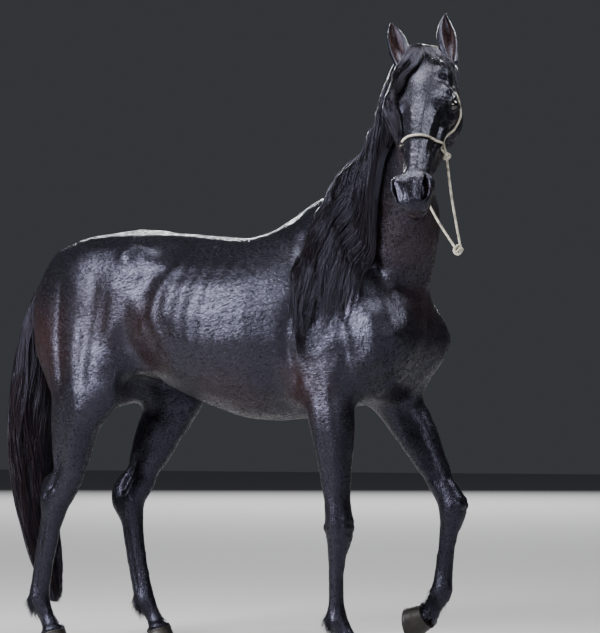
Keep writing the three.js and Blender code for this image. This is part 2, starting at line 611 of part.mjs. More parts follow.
// The forelock falls from between the ears over the right of the face; its guides are in the head's frame.
const forelock = sheet(headOnNeck, [
  [[-38, -30, 20], [45, -40, 30], [115, -78, 20], [190, -98, 0], [285, -86, -30]],
  [[-38, -4, 20], [55, -18, 30], [135, -52, 30], [220, -72, 20], [318, -70, 0]],
  [[-38, 24, 20], [65, 10, 30], [150, -22, 30], [228, -42, 30], [305, -50, 10]],
], 6, 8, 4, 14, headToWorld);

// The tail hangs from the dock: rings of [x, z, half depth, half width, tilt in degrees].
const tailRings = [
  [-752, 1370, 46, 46, 84], [-805, 1366, 44, 44, 68], [-848, 1334, 46, 48, 38], [-878, 1262, 53, 57, 15],
  [-902, 1150, 64, 74, 6], [-922, 1010, 76, 90, 3], [-931, 860, 82, 100, 0], [-929, 700, 84, 104, -2],
  [-910, 540, 80, 96, -5], [-880, 400, 70, 82, -8], [-848, 270, 52, 62, -8], [-824, 185, 30, 36, -8],
  [-814, 148, 10, 14, -8],
];
const tail = loft(tailRings.map(([x, z, depth, width, tilt]) =>
  Array.from({ length: 12 }, (_, i) => {
    const angle = (i / 12) * 2 * Math.PI;
    const reach = Math.cos(angle) * depth;
    return [x + reach * Math.cos(rad(tilt)), Math.sin(angle) * width, z + reach * Math.sin(rad(tilt))];
  })));
addPiece("tail", offFlesh(tail), blackHair);

// ---- Halter: ropes laid on the head from cheek knot to cheek knot, with a loop that hangs below the chin ----
// A point on the head at u along it, turned by angle degrees from its left side over the top.
function onHead(u, angle, lift = ropeRadius + 2) {
  const [c, s] = [Math.cos(rad(angle)), Math.sin(rad(angle))];
  const axisHeight = -75;
  let reach = 10;
  for (let i = 0; i < 80; i++) {
    const d = torsoAndHead(...headToWorld([u, c * reach, axisHeight + s * reach])) - lift;
    if (d > -0.2) break;
    reach += Math.max(-d * 0.6, 0.3);
  }
  return headToWorld([u, c * reach, axisHeight + s * reach]);
}

function rope(points, steps, radius) {
  const curve = new THREE.CatmullRomCurve3(points.map((p) => new THREE.Vector3(...p)), false, "centripetal");
  const sides = 6;
  const section = new THREE.Shape(Array.from({ length: sides }, (_, i) =>
    new THREE.Vector2(Math.cos((i / sides) * 2 * Math.PI), Math.sin((i / sides) * 2 * Math.PI))
      .multiplyScalar(radius)));
  return fromGeometry(new THREE.ExtrudeGeometry(section, { steps, extrudePath: curve, bevelEnabled: false }));
}
const knot = (centre, radius) =>
  fromGeometry(new THREE.IcosahedronGeometry(radius, 1).translate(...centre));

const noseAt = (angle) => 290 + 81 * (0.5 + 0.5 * Math.sin(rad(angle))) ** 0.7; // lower on the cheeks
const cheekAngle = -60;
const cheekKnots = { left: onHead(286, cheekAngle, 18), right: onHead(286, 180 - cheekAngle, 18) };
const chinKnot = [1050, -492, 1296];
const noseAngles = [-40, -15, 12, 38, 62, 90, 118, 142, 168, 195, 220];
const crownWay = [[262, -46], [212, -35], [160, -26], [105, -16], [50, -6], [0, 8], [-36, 27], [-48, 55], [-52, 90]];
const crownPoints = [...crownWay, ...crownWay.slice(0, -1).reverse().map(([u, angle]) => [u, 180 - angle])];
const ropes = {
  halter_noseband: [[cheekKnots.left, ...noseAngles.map((a) => onHead(noseAt(a), a)), cheekKnots.right], 12],
  halter_crown: [[cheekKnots.left, ...crownPoints.map(([u, angle]) => onHead(u, angle)), cheekKnots.right], 21],
  halter_chin_left: [[cheekKnots.left, mix(cheekKnots.left, chinKnot, 0.5), add(chinKnot, [7, 3, 5])], 4],
  halter_chin_right: [[cheekKnots.right, add(mix(cheekKnots.right, chinKnot, 0.5), [0, 0, -24]), add(chinKnot, [-7, -3, 5])], 6],
};
const knots = {
  halter_knot_left: [cheekKnots.left, 11],
  halter_knot_right: [cheekKnots.right, 11],
  halter_knot_chin: [chinKnot, 17],
};
const fatKnots = Object.values(knots).map(([centre, radius]) => knot(centre, radius + seam));
const fatRopes = [];
for (const [name, [points, steps]] of Object.entries(ropes)) {
  const offKnots = fatKnots.reduce((s, k) => s.subtract(k), rope(points, steps, ropeRadius));
  addPiece(name, offFlesh(offKnots), ropeCotton);
  fatRopes.push(rope(points, steps, ropeRadius + seam));
}
for (const [name, [centre, radius]] of Object.entries(knots))
  addPiece(name, offFlesh(knot(centre, radius)), ropeCotton);

const underHalter = (s) => [...fatRopes, ...fatKnots].reduce((rest, piece) => rest.subtract(piece), s);
for (const [name, s] of Object.entries(ears)) addPiece(name, underHalter(offFlesh(s)), blackCoat);
const offNeck = (s) => s.subtract(neckBody).subtract(neckBody.translate(-seam, -seam, seam));
addPiece("mane", underHalter(offNeck(offFlesh(mane))), blackHair);
addPiece("forelock", underHalter(offFlesh(forelock).subtract(eyeSockets)), blackHair);

const group = new THREE.Group();
for (const mesh of meshes.values()) group.add(mesh);
group.position.set(...originShift);

export default group;
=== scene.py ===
# Black riding horse, life size: skin, coat, mane, tail, eyes, hooves and rope halter around the fixed frame
import math
import bpy
import bmesh
import numpy as np
from mathutils import Matrix, Vector
from mathutils.bvhtree import BVHTree


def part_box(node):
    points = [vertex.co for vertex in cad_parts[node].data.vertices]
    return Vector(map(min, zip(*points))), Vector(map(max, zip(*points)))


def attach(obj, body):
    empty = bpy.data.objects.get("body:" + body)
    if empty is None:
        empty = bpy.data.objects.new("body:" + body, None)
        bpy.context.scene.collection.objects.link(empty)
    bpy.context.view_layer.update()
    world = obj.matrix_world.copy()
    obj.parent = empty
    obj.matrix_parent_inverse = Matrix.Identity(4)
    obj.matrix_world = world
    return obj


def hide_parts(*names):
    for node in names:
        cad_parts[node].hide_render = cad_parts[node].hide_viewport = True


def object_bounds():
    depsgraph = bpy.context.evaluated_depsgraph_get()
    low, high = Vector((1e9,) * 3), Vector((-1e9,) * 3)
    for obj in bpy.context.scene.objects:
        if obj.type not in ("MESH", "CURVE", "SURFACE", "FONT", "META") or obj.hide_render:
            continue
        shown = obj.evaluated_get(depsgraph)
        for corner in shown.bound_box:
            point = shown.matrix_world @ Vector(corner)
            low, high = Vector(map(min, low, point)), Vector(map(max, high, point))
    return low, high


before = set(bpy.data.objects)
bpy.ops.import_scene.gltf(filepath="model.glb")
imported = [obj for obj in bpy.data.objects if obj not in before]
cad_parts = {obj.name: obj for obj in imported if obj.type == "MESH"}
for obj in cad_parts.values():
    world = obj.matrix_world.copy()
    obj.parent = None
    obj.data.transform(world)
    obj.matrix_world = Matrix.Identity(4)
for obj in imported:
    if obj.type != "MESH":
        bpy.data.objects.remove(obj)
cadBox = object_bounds()
bpy.ops.object.select_all(action="DESELECT")
mm = 0.001  # a millimetre in metres

# Body places are in millimetres: x runs from tail to chest, y to the horse's left, z up from the floor.
pose = {
    "footPlace": (529.5, -150.0),  # middle of the standing right forefoot
    "poll": (871.0, -348.0, 1924.0),
    "headYaw": -71.0,
    "headPitch": 49.0,
    "headRoll": 5.0,
}
footLow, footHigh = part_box("fore_right_hoof")
bodyOrigin = np.array([
    (footLow[0] + footHigh[0]) / 2 - pose["footPlace"][0] * mm,
    (footLow[1] + footHigh[1]) / 2 - pose["footPlace"][1] * mm,
    0.0,
])


def bodySpot(places):
    return np.array(places, float) * mm + bodyOrigin


def headFrame():
    yaw, pitch, roll = (math.radians(pose[k]) for k in ("headYaw", "headPitch", "headRoll"))
    along = np.array([math.cos(yaw) * math.cos(pitch), math.sin(yaw) * math.cos(pitch), -math.sin(pitch)])
    level = np.array([-math.sin(yaw), math.cos(yaw), 0.0])
    raised = np.cross(along, level)
    left = level * math.cos(roll) + raised * math.sin(roll)
    face = raised * math.cos(roll) - level * math.sin(roll)
    return np.array([along, left, face])


headRows = headFrame()  # along the head to the muzzle, to its left, out of the face
pollSpot = bodySpot(pose["poll"])


def headSpot(places):
    return pollSpot + np.array(places, float) * mm @ headRows


def inHead(points):
    return (points - pollSpot) @ headRows.T * 1000.0  # millimetres along, left and out of the face


def inBody(points):
    return (points - bodyOrigin) * 1000.0


def mirrored(places):
    return [(a, -b, c) for a, b, c in places]


def linkNew(name, data):
    obj = bpy.data.objects.new(name, data)
    bpy.context.collection.objects.link(obj)
    return obj


def makeObject(name, verts, faces):
    mesh = bpy.data.meshes.new(name)
    mesh.from_pydata([tuple(v) for v in verts], [], faces)
    mesh.update()
    return linkNew(name, mesh)


def copyOf(source):
    copy = source.copy()
    copy.data = source.data.copy()
    bpy.context.collection.objects.link(copy)
    return copy


def selectOnly(objects, active):
    bpy.ops.object.select_all(action="DESELECT")
    for obj in objects:
        obj.select_set(True)
    bpy.context.view_layer.objects.active = active


# Joins the objects into one of them, the first unless another is named.
def joinObjects(objects, name, into=0):
    selectOnly(objects, objects[into])
    bpy.ops.object.join()
    objects[into].name = name
    return objects[into]


def joinCopies(nodes, name):
    copies = [copyOf(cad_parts[node]) for node in nodes]
    for copy in copies:
        copy.parent = None
        copy.matrix_world = Matrix.Identity(4)
    joined = joinObjects(copies, name, into=-1)
    joined.data.materials.clear()
    bpy.ops.object.mode_set(mode="EDIT")
    bpy.ops.mesh.select_all(action="SELECT")
    bpy.ops.mesh.remove_doubles(threshold=1e-5)
    bpy.ops.object.mode_set(mode="OBJECT")
    return joined


def applyModifier(obj, kind, **settings):
    selectOnly([obj], obj)
    modifier = obj.modifiers.new(kind.title(), kind)
    for key, value in settings.items():
        setattr(modifier, key, value)
    bpy.ops.object.modifier_apply(modifier=modifier.name)


# One of a mesh's own lists as an array, with width numbers in a row.
def readArray(items, name, width, kind=float):
    flat = np.empty(len(items) * width, dtype=kind)
    items.foreach_get(name, flat)
    return flat.reshape(-1, width) if width > 1 else flat


def readPoints(obj):
    return readArray(obj.data.vertices, "co", 3)


def readNormals(obj):
    return readArray(obj.data.vertex_normals, "vector", 3)


def readEdges(obj):
    return readArray(obj.data.edges, "vertices", 2, np.int64)


def surfaceTree(obj):
    faces = [tuple(p.vertices) for p in obj.data.polygons]
    return BVHTree.FromPolygons([Vector(p) for p in readPoints(obj)], faces)


def writePoints(obj, points):
    obj.data.vertices.foreach_set("co", points.astype(np.float32).ravel())
    obj.data.update()


def addNumbers(obj, name, values):
    layer = obj.data.attributes.new(name, "FLOAT", "POINT")
    layer.data.foreach_set("value", np.asarray(values, np.float32))


def unit(ways):
    return ways / (np.linalg.norm(ways, axis=-1, keepdims=True) + 1e-9)


# Evens out a surface; strength is one number or one for each point. With pushBack, every other pass pushes
# back, so volume stays.
def relax(obj, passes, strength, pushBack=0.0):
    points = readPoints(obj)
    a, b = readEdges(obj).T
    count = len(points)
    ends = np.concatenate([a, b])
    others = np.concatenate([b, a])
    share = np.bincount(ends, minlength=count).astype(float)[:, None]
    strength = np.broadcast_to(np.asarray(strength, float), (count,))[:, None]
    for step in range(passes):
        near = np.stack([np.bincount(ends, weights=points[others, c], minlength=count) for c in range(3)], 1)
        pull = (near / share - points) * strength
        points += pull if step % 2 == 0 or pushBack == 0 else -pull * pushBack
    writePoints(obj, points)


# Distance from each point to a chain of places, with how far along the chain the nearest place is.
def chainDistance(points, chain):
    best = np.full(len(points), 1e9)
    along = np.zeros(len(points))
    total = max(len(chain) - 1, 1)
    if len(chain) == 1:
        return np.linalg.norm(points - chain[0], axis=1), along
    for i in range(len(chain) - 1):
        a, b = chain[i], chain[i + 1]
        d = b - a
        t = np.clip(((points - a) @ d) / (d @ d), 0, 1)
        gap = np.linalg.norm(points - (a + t[:, None] * d), axis=1)
        closer = gap < best
        best[closer] = gap[closer]
        along[closer] = (i + t[closer]) / total
    return best, along


# 1 at a share of 0, falling smoothly to 0 at a share of 1
def smoothFall(share):
    share = np.clip(1 - share, 0, 1)
    return share * share * (3 - 2 * share)


# Count places evenly along a smooth curve through all of the places
def smoothCurve(places, count):
    p = np.array(places, float)
    p = np.vstack([2 * p[0] - p[1], p, 2 * p[-1] - p[-2]])
    s = np.linspace(0, len(p) - 3 - 1e-9, count)
    i = s.astype(int)
    t = (s - i)[:, None]
    a, b, c, d = p[i], p[i + 1], p[i + 2], p[i + 3]
    return b + 0.5 * t * (c - a + t * (2 * a - 5 * b + 4 * c - d + t * (3 * (b - c) + d - a)))


# The skin is the nodes of flesh joined, evened out and then worked over with strokes.
legNames = ["fore_right", "fore_left", "hind_right", "hind_left"]
fleshNodes = ["trunk", "neck", "head"] + [leg + part for leg in legNames for part in ("_upper", "_lower")]
skinPlan = {
    "grain": 0.0135,  # edge of a skin face on the body, in metres
    "coatDepth": 0.003,
    "tuftRoom": 0.0022,  # how far the skin keeps inside the whole form's limits, for the tufts
    "evenTrunk": 60,
    "evenHead": 8,
}
eyePlan = {"place": (206.0, 93.0, -48.0), "radius": 20.0, "look": (0.44, 0.8, 0.41)}

skin = joinCopies(fleshNodes, "skin")
form = surfaceTree(skin)
for side in (1, -1):
    place = headSpot((eyePlan["place"][0], side * eyePlan["place"][1], eyePlan["place"][2]))
    bpy.ops.mesh.primitive_uv_sphere_add(radius=eyePlan["radius"] * 0.00106, location=place)
    joinObjects([bpy.context.object, skin], "skin", into=-1)
applyModifier(skin, "REMESH", mode="VOXEL", voxel_size=skinPlan["grain"])
print("skin remeshed:", len(skin.data.vertices), "points")


# Places in the body and on the head, and how far each point belongs to the head and to the legs, from 0 to 1
def regionOf(points):
    body, head = inBody(points), inHead(points)
    headness = smoothFall((40 - head[:, 0]) / 90) * (np.abs(head[:, 1]) < 130)
    headness *= (head[:, 2] > -320) & (points[:, 2] > 1.3) & (body[:, 1] < -60)
    legness = smoothFall((body[:, 2] - 700) / 120)
    return body, head, headness, legness


# How far the form's surface lies beyond each point of a surface, along its normal, spread over neighbours.
def gapToForm(obj, passes):
    points, normals = readPoints(obj), readNormals(obj)
    spots = np.array([form.find_nearest(Vector(p))[0] for p in points])
    gap = np.sum((spots - points) * normals, axis=1)
    a, b = readEdges(obj).T
    share = np.bincount(a, minlength=len(gap)) + np.bincount(b, minlength=len(gap))
    for _ in range(passes):
        near = np.bincount(a, weights=gap[b], minlength=len(gap))
        near += np.bincount(b, weights=gap[a], minlength=len(gap))
        gap = 0.4 * gap + 0.6 * near / share
    return points, normals, gap


# Evening thins the flesh, so the skin is brought back to the form, short of it by the coat's depth.
def bringToForm(obj, passes, finer):
    points, normals, gap = gapToForm(obj, passes)
    _, _, headness, legness = regionOf(points)
    depth = skinPlan["coatDepth"] * (1 - 0.6 * np.clip(headness + legness, 0, 1))
    writePoints(obj, points + normals * ((gap - depth) * finer)[:, None])


_, _, headness, legness = regionOf(readPoints(skin))
trunkness = np.clip(1 - headness - legness, 0, 1)
relax(skin, 8, 0.5)
relax(skin, skinPlan["evenTrunk"], 0.6 * trunkness, pushBack=1.03)
relax(skin, 14, 0.5 * trunkness)
relax(skin, skinPlan["evenHead"], 0.5 * np.clip(headness + legness, 0, 1), pushBack=0.9)
bringToForm(skin, 8, 1.0)
relax(skin, 2, 0.4)
bringToForm(skin, 5, 0.8)
print("skin evened")


# Halves each face where want says so, for finer work there.
def refine(obj, want):
    chosen = want(readPoints(obj))
    bm = bmesh.new()
    bm.from_mesh(obj.data)
    bm.verts.ensure_lookup_table()
    edges = [e for e in bm.edges if chosen[e.verts[0].index] and chosen[e.verts[1].index]]
    bmesh.ops.subdivide_edges(bm, edges=edges, cuts=1, use_grid_fill=True, smooth=0.9,
                              quad_corner_type="INNER_VERT")
    bmesh.ops.triangulate(bm, faces=[f for f in bm.faces if len(f.verts) > 4])
    bm.to_mesh(obj.data)
    bm.free()
    obj.data.update()


def isFaceOrLeg(points):
    body = inBody(points)
    u, v, w = inHead(points).T
    onHead = (u > -60) & (np.abs(v) < 130) & (w > -300) & (body[:, 1] < -180) & (points[:, 2] > 1.36)
    return onHead | (body[:, 2] < 620)


def isFineHead(points):
    u, v, w = inHead(points).T
    nearEye = np.linalg.norm(np.stack([u, np.abs(v), w], 1) - eyePlan["place"], axis=1) < 58
    onMuzzle = (u > 476) & (np.abs(v) < 120) & (w > -220) & (u < 700)
    onFront = (u > 230) & (np.abs(v) < 100) & (w > -130) & (u < 480)
    return nearEye | onMuzzle | onFront


def isNostril(points):
    u, v, w = inHead(points).T
    return (np.abs(u - 553) < 56) & (np.abs(np.abs(v) - 40) < 26) & (w > -112) & (w < 0)


for want in (isFaceOrLeg, isFineHead, isNostril):
    refine(skin, want)
print("skin refined:", len(skin.data.vertices), "points")

# Places in the body where the legs bend
joints = {
    "fore_right": {"elbow": (430, -168, 872), "knee": (459, -158, 454), "fetlock": (449, -150, 162),
                   "coronet": (508, -150, 70)},
    "fore_left": {"elbow": (515, 160, 872), "knee": (719, 150, 523), "fetlock": (683, 141, 240),
                  "coronet": (628, 139, 164)},
    "hind_right": {"stifle": (-455, -190, 905), "hock": (-705, -140, 536), "fetlock": (-776, -135, 170),
                   "coronet": (-715, -135, 70)},
    "hind_left": {"stifle": (-385, 185, 880), "hock": (-583, 135, 528), "fetlock": (-506, 133, 162),
                  "coronet": (-446, 133, 70)},
}

# Strokes are (places, radius, height) in millimetres: a ridge where the height is above 0, else a groove.
# Those of the body are on its right side and are repeated on its left.
bodyStrokes = {
    "shoulderBladeSpine": ([(385, -90, 1510), (455, -140, 1390), (545, -185, 1230)], 38, 6),
    "shoulderBladeRear": ([(300, -120, 1440), (335, -185, 1320), (365, -225, 1180)], 34, -7),
    "beforeShoulder": ([(470, -95, 1520), (560, -140, 1370), (640, -165, 1220), (690, -160, 1130)], 34, -11),
    "shoulderMuscle": ([(520, -175, 1320), (590, -205, 1190)], 60, 6),
    "pointOfShoulder": ([(680, -205, 1085)], 60, 9),
    "upperArm": ([(640, -205, 1030), (560, -215, 960)], 46, 7),
    "underPointOfShoulder": ([(650, -170, 990), (590, -200, 900)], 26, -7),
    "triceps": ([(400, -225, 1120), (440, -225, 1010)], 95, 13),
    "tricepsFront": ([(490, -225, 1150), (525, -225, 1040), (510, -215, 930)], 26, -7),
    "behindTriceps": ([(330, -215, 1200), (305, -225, 1080), (320, -210, 960), (365, -190, 880)], 30, -12),
    "elbowPoint": ([(352, -188, 910)], 44, 10),
    "elbowFold": ([(330, -170, 870), (300, -190, 900), (265, -205, 925)], 15, 5),
    "breastMuscle": ([(690, -75, 1090), (690, -85, 980), (640, -85, 900)], 68, 12),
    "breastToArm": ([(640, -120, 985), (585, -125, 885)], 22, -8),
    "breastGroove": ([(725, 0, 1180), (715, 0, 1060), (690, 0, 940), (600, 0, 850)], 30, -16),
    "loinGroove": ([(150, -45, 1425), (-50, -50, 1425), (-250, -60, 1450)], 30, 3),
    "croupPeak": ([(-440, 0, 1475), (-520, 0, 1475)], 80, -7),
    "loinTop": ([(-340, 0, 1460), (-220, 0, 1440), (-60, 0, 1420), (80, 0, 1415)], 110, -11),
    "hipBone": ([(-338, -222, 1372)], 48, 13),
    "hipToCroup": ([(-345, -205, 1400), (-400, -120, 1470)], 40, 4),
    "flankHollow": ([(-262, -215, 1300), (-240, -225, 1230)], 82, -15),
    "lastRib": ([(-120, -215, 1350), (-205, -255, 1210), (-190, -262, 1100), (-110, -255, 980)], 28, 5),
    "flankFold": ([(-365, -235, 925), (-315, -245, 985), (-270, -255, 1060), (-255, -245, 1130)], 22, 13),
    "flankFoldFront": ([(-335, -235, 960), (-280, -235, 935), (-235, -230, 915)], 16, 7),
    "underFlankFold": ([(-235, -240, 1000), (-205, -250, 1070)], 30, -7),
    "thighFront": ([(-365, -240, 1290), (-385, -250, 1150), (-400, -250, 1010)], 60, 9),
    "thighGroove": ([(-455, -250, 1300), (-490, -255, 1150), (-510, -250, 1010), (-505, -235, 900)], 34, -7),
    "croupMuscle": ([(-480, -190, 1390), (-590, -195, 1290)], 110, 8),
    "hamFront": ([(-620, -205, 1330), (-630, -240, 1180), (-620, -240, 1040), (-600, -225, 900)], 26, -8),
    "hamMuscle": ([(-690, -175, 1300), (-690, -205, 1150), (-665, -220, 1000), (-655, -210, 900)], 52, 7),
    "hamRear": ([(-745, -120, 1330), (-762, -165, 1200), (-745, -190, 1060), (-705, -190, 900)], 20, -7),
    "buttockCleft": ([(-800, 0, 1330), (-815, 0, 1200), (-780, 0, 1050), (-700, 0, 930)], 46, -30),
    "sacrum": ([(-430, 0, 1495), (-560, 0, 1475), (-680, 0, 1430)], 34, 4),
    "croupDimple": ([(-640, -55, 1440), (-720, -50, 1410)], 30, -6),
    "stifleCap": ([(-372, -225, 948)], 42, 9),
    "stifleUnder": ([(-395, -232, 895), (-430, -225, 860)], 24, -6),
    "bellyLine": ([(330, -165, 870), (230, -200, 885), (60, -215, 900), (-120, -205, 925)], 22, 4),
    "bellyHollow": ([(250, -225, 945), (80, -245, 955), (-100, -240, 985)], 46, -4),
    "bellyMidline": ([(350, 0, 830), (150, 0, 808), (-60, 0, 830), (-200, 0, 870)], 30, 4),
}
# The neck bends to the right, so each of its sides has its own strokes.
neckStrokes = {
    "windpipe": ([(800, -215, 1610), (765, -130, 1480), (730, -50, 1340), (712, -10, 1220)], 46, 8),
    "rightVeinGroove": ([(745, -268, 1630), (705, -190, 1500), (675, -120, 1370), (665, -105, 1240)],
                        26, -10),
    "rightMuscle": ([(720, -275, 1700), (640, -215, 1540), (600, -180, 1380), (615, -170, 1230)], 44, 7),
    "leftVeinGroove": ([(842, -175, 1610), (795, -50, 1470), (740, 50, 1350), (700, 95, 1230)], 26, -9),
    "leftMuscle": ([(855, -190, 1730), (770, -40, 1590), (700, 70, 1440), (650, 130, 1270)], 46, 8),
    "leftTop": ([(760, -190, 1830), (640, -60, 1700), (520, 60, 1570)], 60, 4),
    "leftHollow": ([(800, -150, 1740), (700, 0, 1600), (600, 90, 1470)], 50, -7),
}
ribPlan = {"first": -150, "last": 300, "step": 54, "radius": 21, "height": 2.6}

# On a leg a place is (share of the way between two joints, further forward, further out).
foreStrokes = {
    "extensor": ("elbow", "knee", [(0.05, 34, 34), (0.3, 34, 34), (0.6, 20, 28)], 42, 7),
    "flexor": ("elbow", "knee", [(0.05, -44, 34), (0.3, -34, 32), (0.55, -22, 26)], 30, 5),
    "armGroove": ("elbow", "knee", [(0.0, -6, 52), (0.35, -4, 46), (0.75, -4, 36)], 13, -5),
    "armGrooveInside": ("elbow", "knee", [(0.1, 4, -52), (0.5, 0, -42), (0.85, 0, -36)], 13, -4),
    "chestnut": ("elbow", "knee", [(0.76, -8, -42), (0.82, -8, -41)], 12, 6),
    "kneeOuter": ("knee", "fetlock", [(-0.12, 36, 22), (0.03, 36, 22)], 20, 5),
    "kneeInner": ("knee", "fetlock", [(-0.12, 36, -22), (0.03, 36, -22)], 20, 5),
    "kneeCreaseTop": ("knee", "fetlock", [(-0.07, 34, -36), (-0.06, 50, 0), (-0.07, 34, 36)], 8, -3.5),
    "kneeCreaseLow": ("knee", "fetlock", [(0.03, 34, -36), (0.04, 50, 0), (0.03, 34, 36)], 8, -3.5),
    "kneeBack": ("knee", "fetlock", [(-0.06, -48, 12), (0.02, -44, 10)], 22, 11),
    "underKneeBack": ("knee", "fetlock", [(0.13, -40, 0), (0.2, -38, 0)], 20, -5),
}
hindStrokes = {
    "gaskin": ("stifle", "hock", [(0.1, -40, 60), (0.35, -14, 52), (0.6, 14, 36)], 46, 9),
    "gaskinInside": ("stifle", "hock", [(0.15, -50, -60), (0.4, -24, -50)], 46, 7),
    "gaskinGroove": ("stifle", "hock", [(0.1, -96, 58), (0.35, -66, 50), (0.6, -28, 40)], 15, -6),
    "tendonGrooveOut": ("stifle", "hock", [(0.55, -38, 36), (0.75, -34, 34), (0.92, -26, 34)], 20, -14),
    "tendonGrooveIn": ("stifle", "hock", [(0.55, -38, -36), (0.75, -34, -34), (0.92, -26, -34)], 20, -14),
    "hockOuter": ("hock", "fetlock", [(-0.06, 6, 36)], 22, 6),
    "hockInner": ("hock", "fetlock", [(-0.04, 14, -36), (0.05, 20, -32)], 24, 7),
    "hockFront": ("hock", "fetlock", [(-0.08, 44, 0), (0.08, 42, 0)], 18, 3),
    "hockHollow": ("hock", "fetlock", [(-0.04, -22, 30)], 18, -6),
    "chestnut": ("hock", "fetlock", [(0.1, -6, -36), (0.14, -6, -35)], 11, 5),
}
# Below the hinge, which is the knee or the hock, the legs are alike.
lowStrokes = {
    "tendonOut": ("hinge", "fetlock", [(0.14, -12, 30), (0.4, -12, 25), (0.7, -12, 25), (0.9, -8, 30)],
                  9, -6),
    "tendonIn": ("hinge", "fetlock", [(0.14, -12, -30), (0.4, -12, -25), (0.7, -12, -25), (0.9, -8, -30)],
                 9, -6),
    "tendonBack": ("hinge", "fetlock", [(0.16, -36, 0), (0.5, -36, 0), (0.85, -38, 0)], 11, 3),
    "cannonFront": ("hinge", "fetlock", [(0.15, 30, 0), (0.5, 28, 0), (0.85, 30, 0)], 14, 2),
    "sesamoidOut": ("hinge", "fetlock", [(0.98, -34, 18)], 20, 6),
    "sesamoidIn": ("hinge", "fetlock", [(0.98, -34, -18)], 20, 6),
    "fetlockSide": ("hinge", "fetlock", [(1.0, 2, 34)], 20, 3),
    "ergot": ("fetlock", "coronet", [(0.08, -48, 0)], 12, 7),
    "pasternBack": ("fetlock", "coronet", [(0.4, -30, 0), (0.6, -30, 0)], 18, -5),
    "pasternCrease": ("fetlock", "coronet", [(0.72, -30, -18), (0.74, -34, 0), (0.72, -30, 18)], 7, -3),
}
# On the head a place is (along from the poll, to its left, out of the face); each is repeated on its right.
headStrokes = {
    "cheekBone": ([(120, 84, -70), (180, 92, -84), (240, 86, -92)], 34, 9),
    "browBone": ([(150, 70, 2), (182, 92, -14), (214, 102, -24), (242, 92, -40)], 16, 10),
    "overEyeHollow": ([(122, 58, 0), (142, 68, -6)], 24, -10),
    "temple": ([(70, 58, -4), (100, 66, -8)], 26, 4),
    "jawJoint": ([(112, 88, -66)], 20, 5),
    "cheekBoneLine": ([(262, 74, -86), (300, 64, -92), (350, 50, -94)], 9, 7),
    "underCheekBone": ([(240, 82, -112), (310, 62, -116)], 22, -6),
    "aboveCheekBone": ([(268, 70, -58), (320, 50, -66), (390, 42, -72)], 20, -8),
    "noseEdge": ([(236, 66, -18), (270, 54, -22), (340, 40, -32), (430, 32, -44)], 10, 4),
    "noseBridge": ([(250, 22, 4), (340, 18, -8), (430, 14, -26), (480, 12, -36)], 13, 3),
    "noseSide": ([(400, 38, -70), (480, 44, -72)], 30, 7),
    "jawMuscle": ([(120, 92, -150), (165, 88, -175)], 62, 6),
    "jawEdge": ([(62, 76, -190), (96, 80, -232), (160, 72, -240), (230, 56, -205), (300, 42, -172)], 16, 6),
    "jawBar": ([(270, 54, -180), (340, 46, -160), (420, 40, -148)], 34, 13),
    "throatHollow": ([(20, 88, -120), (40, 92, -180), (56, 84, -225)], 26, -10),
    "jawHollow": ([(240, 0, -205), (330, 0, -172), (430, 0, -158)], 18, -10),
    "faceVein": ([(250, 62, -176), (268, 72, -142), (300, 60, -112), (318, 50, -84)], 6, 3),
    "cheekVein": ([(240, 84, -100), (208, 92, -118), (178, 94, -128)], 5, 2),
    "muzzleSide": ([(520, 46, -60), (560, 50, -76)], 26, 8),
    "lipCorner": ([(492, 36, -114)], 9, -4),
    "lipLine": ([(490, 38, -114), (520, 40, -117), (556, 38, -121), (586, 28, -124), (604, 10, -124),
                 (607, 0, -124)], 6, -7),
    "upperLip": ([(540, 40, -104), (575, 34, -106), (598, 14, -104), (604, 0, -104)], 16, 5),
    "lowerLip": ([(530, 34, -131), (565, 30, -134), (590, 12, -137), (594, 0, -137)], 12, 6),
    "chin": ([(566, 0, -158)], 26, 9),
    "chinGroove": ([(586, 16, -148), (592, 0, -148)], 7, -3),
    "betweenNostrils": ([(540, 0, -44), (572, 0, -58), (596, 0, -84)], 14, -4),
    "eyeFoldLow": ([(240, 92, -62), (232, 98, -74), (208, 106, -82), (186, 104, -84)], 5, -4),
    "eyeFoldRidge": ([(248, 90, -66), (236, 96, -80), (208, 105, -88), (184, 103, -90)], 5, 2.5),
    "eyeFoldLower": ([(254, 86, -72), (240, 94, -86), (208, 105, -94), (182, 102, -96)], 5, -3.5),
    "eyeFoldThird": ([(262, 82, -80), (244, 90, -94), (212, 100, -102)], 5, -2.5),
    "eyeFoldHigh": ([(170, 88, -22), (190, 100, -22), (220, 104, -28)], 5, -3),
}


def stroke(points, normals, chain, radius, height):
    low, high = chain.min(0) - radius * mm, chain.max(0) + radius * mm
    near = np.nonzero(np.all((points > low) & (points < high), axis=1))[0]
    if len(near) == 0:
        return
    gap, along = chainDistance(points[near], chain)
    ends = 1.0 if len(chain) == 1 else np.clip(np.minimum(along, 1 - along) * 6 + 0.35, 0, 1)
    points[near] += normals[near] * (smoothFall(gap / (radius * mm)) * ends * height * mm)[:, None]


def legPlaces(leg, start, end, places):
    hinge = "knee" if leg.startswith("fore") else "hock"
    side = 1 if joints[leg][end][1] > 0 else -1
    a, b = (np.array(joints[leg][hinge if name == "hinge" else name], float) for name in (start, end))
    return bodySpot([a + (b - a) * share + (forward, side * out, 0) for share, forward, out in places])


def ribStroke(x):
    places = [(x + 30, -190, 1375), (x + 8, -262, 1250), (x - 12, -282, 1130), (x - 6, -262, 1000),
              (x + 22, -215, 915)]
    return places, ribPlan["radius"], ribPlan["height"]


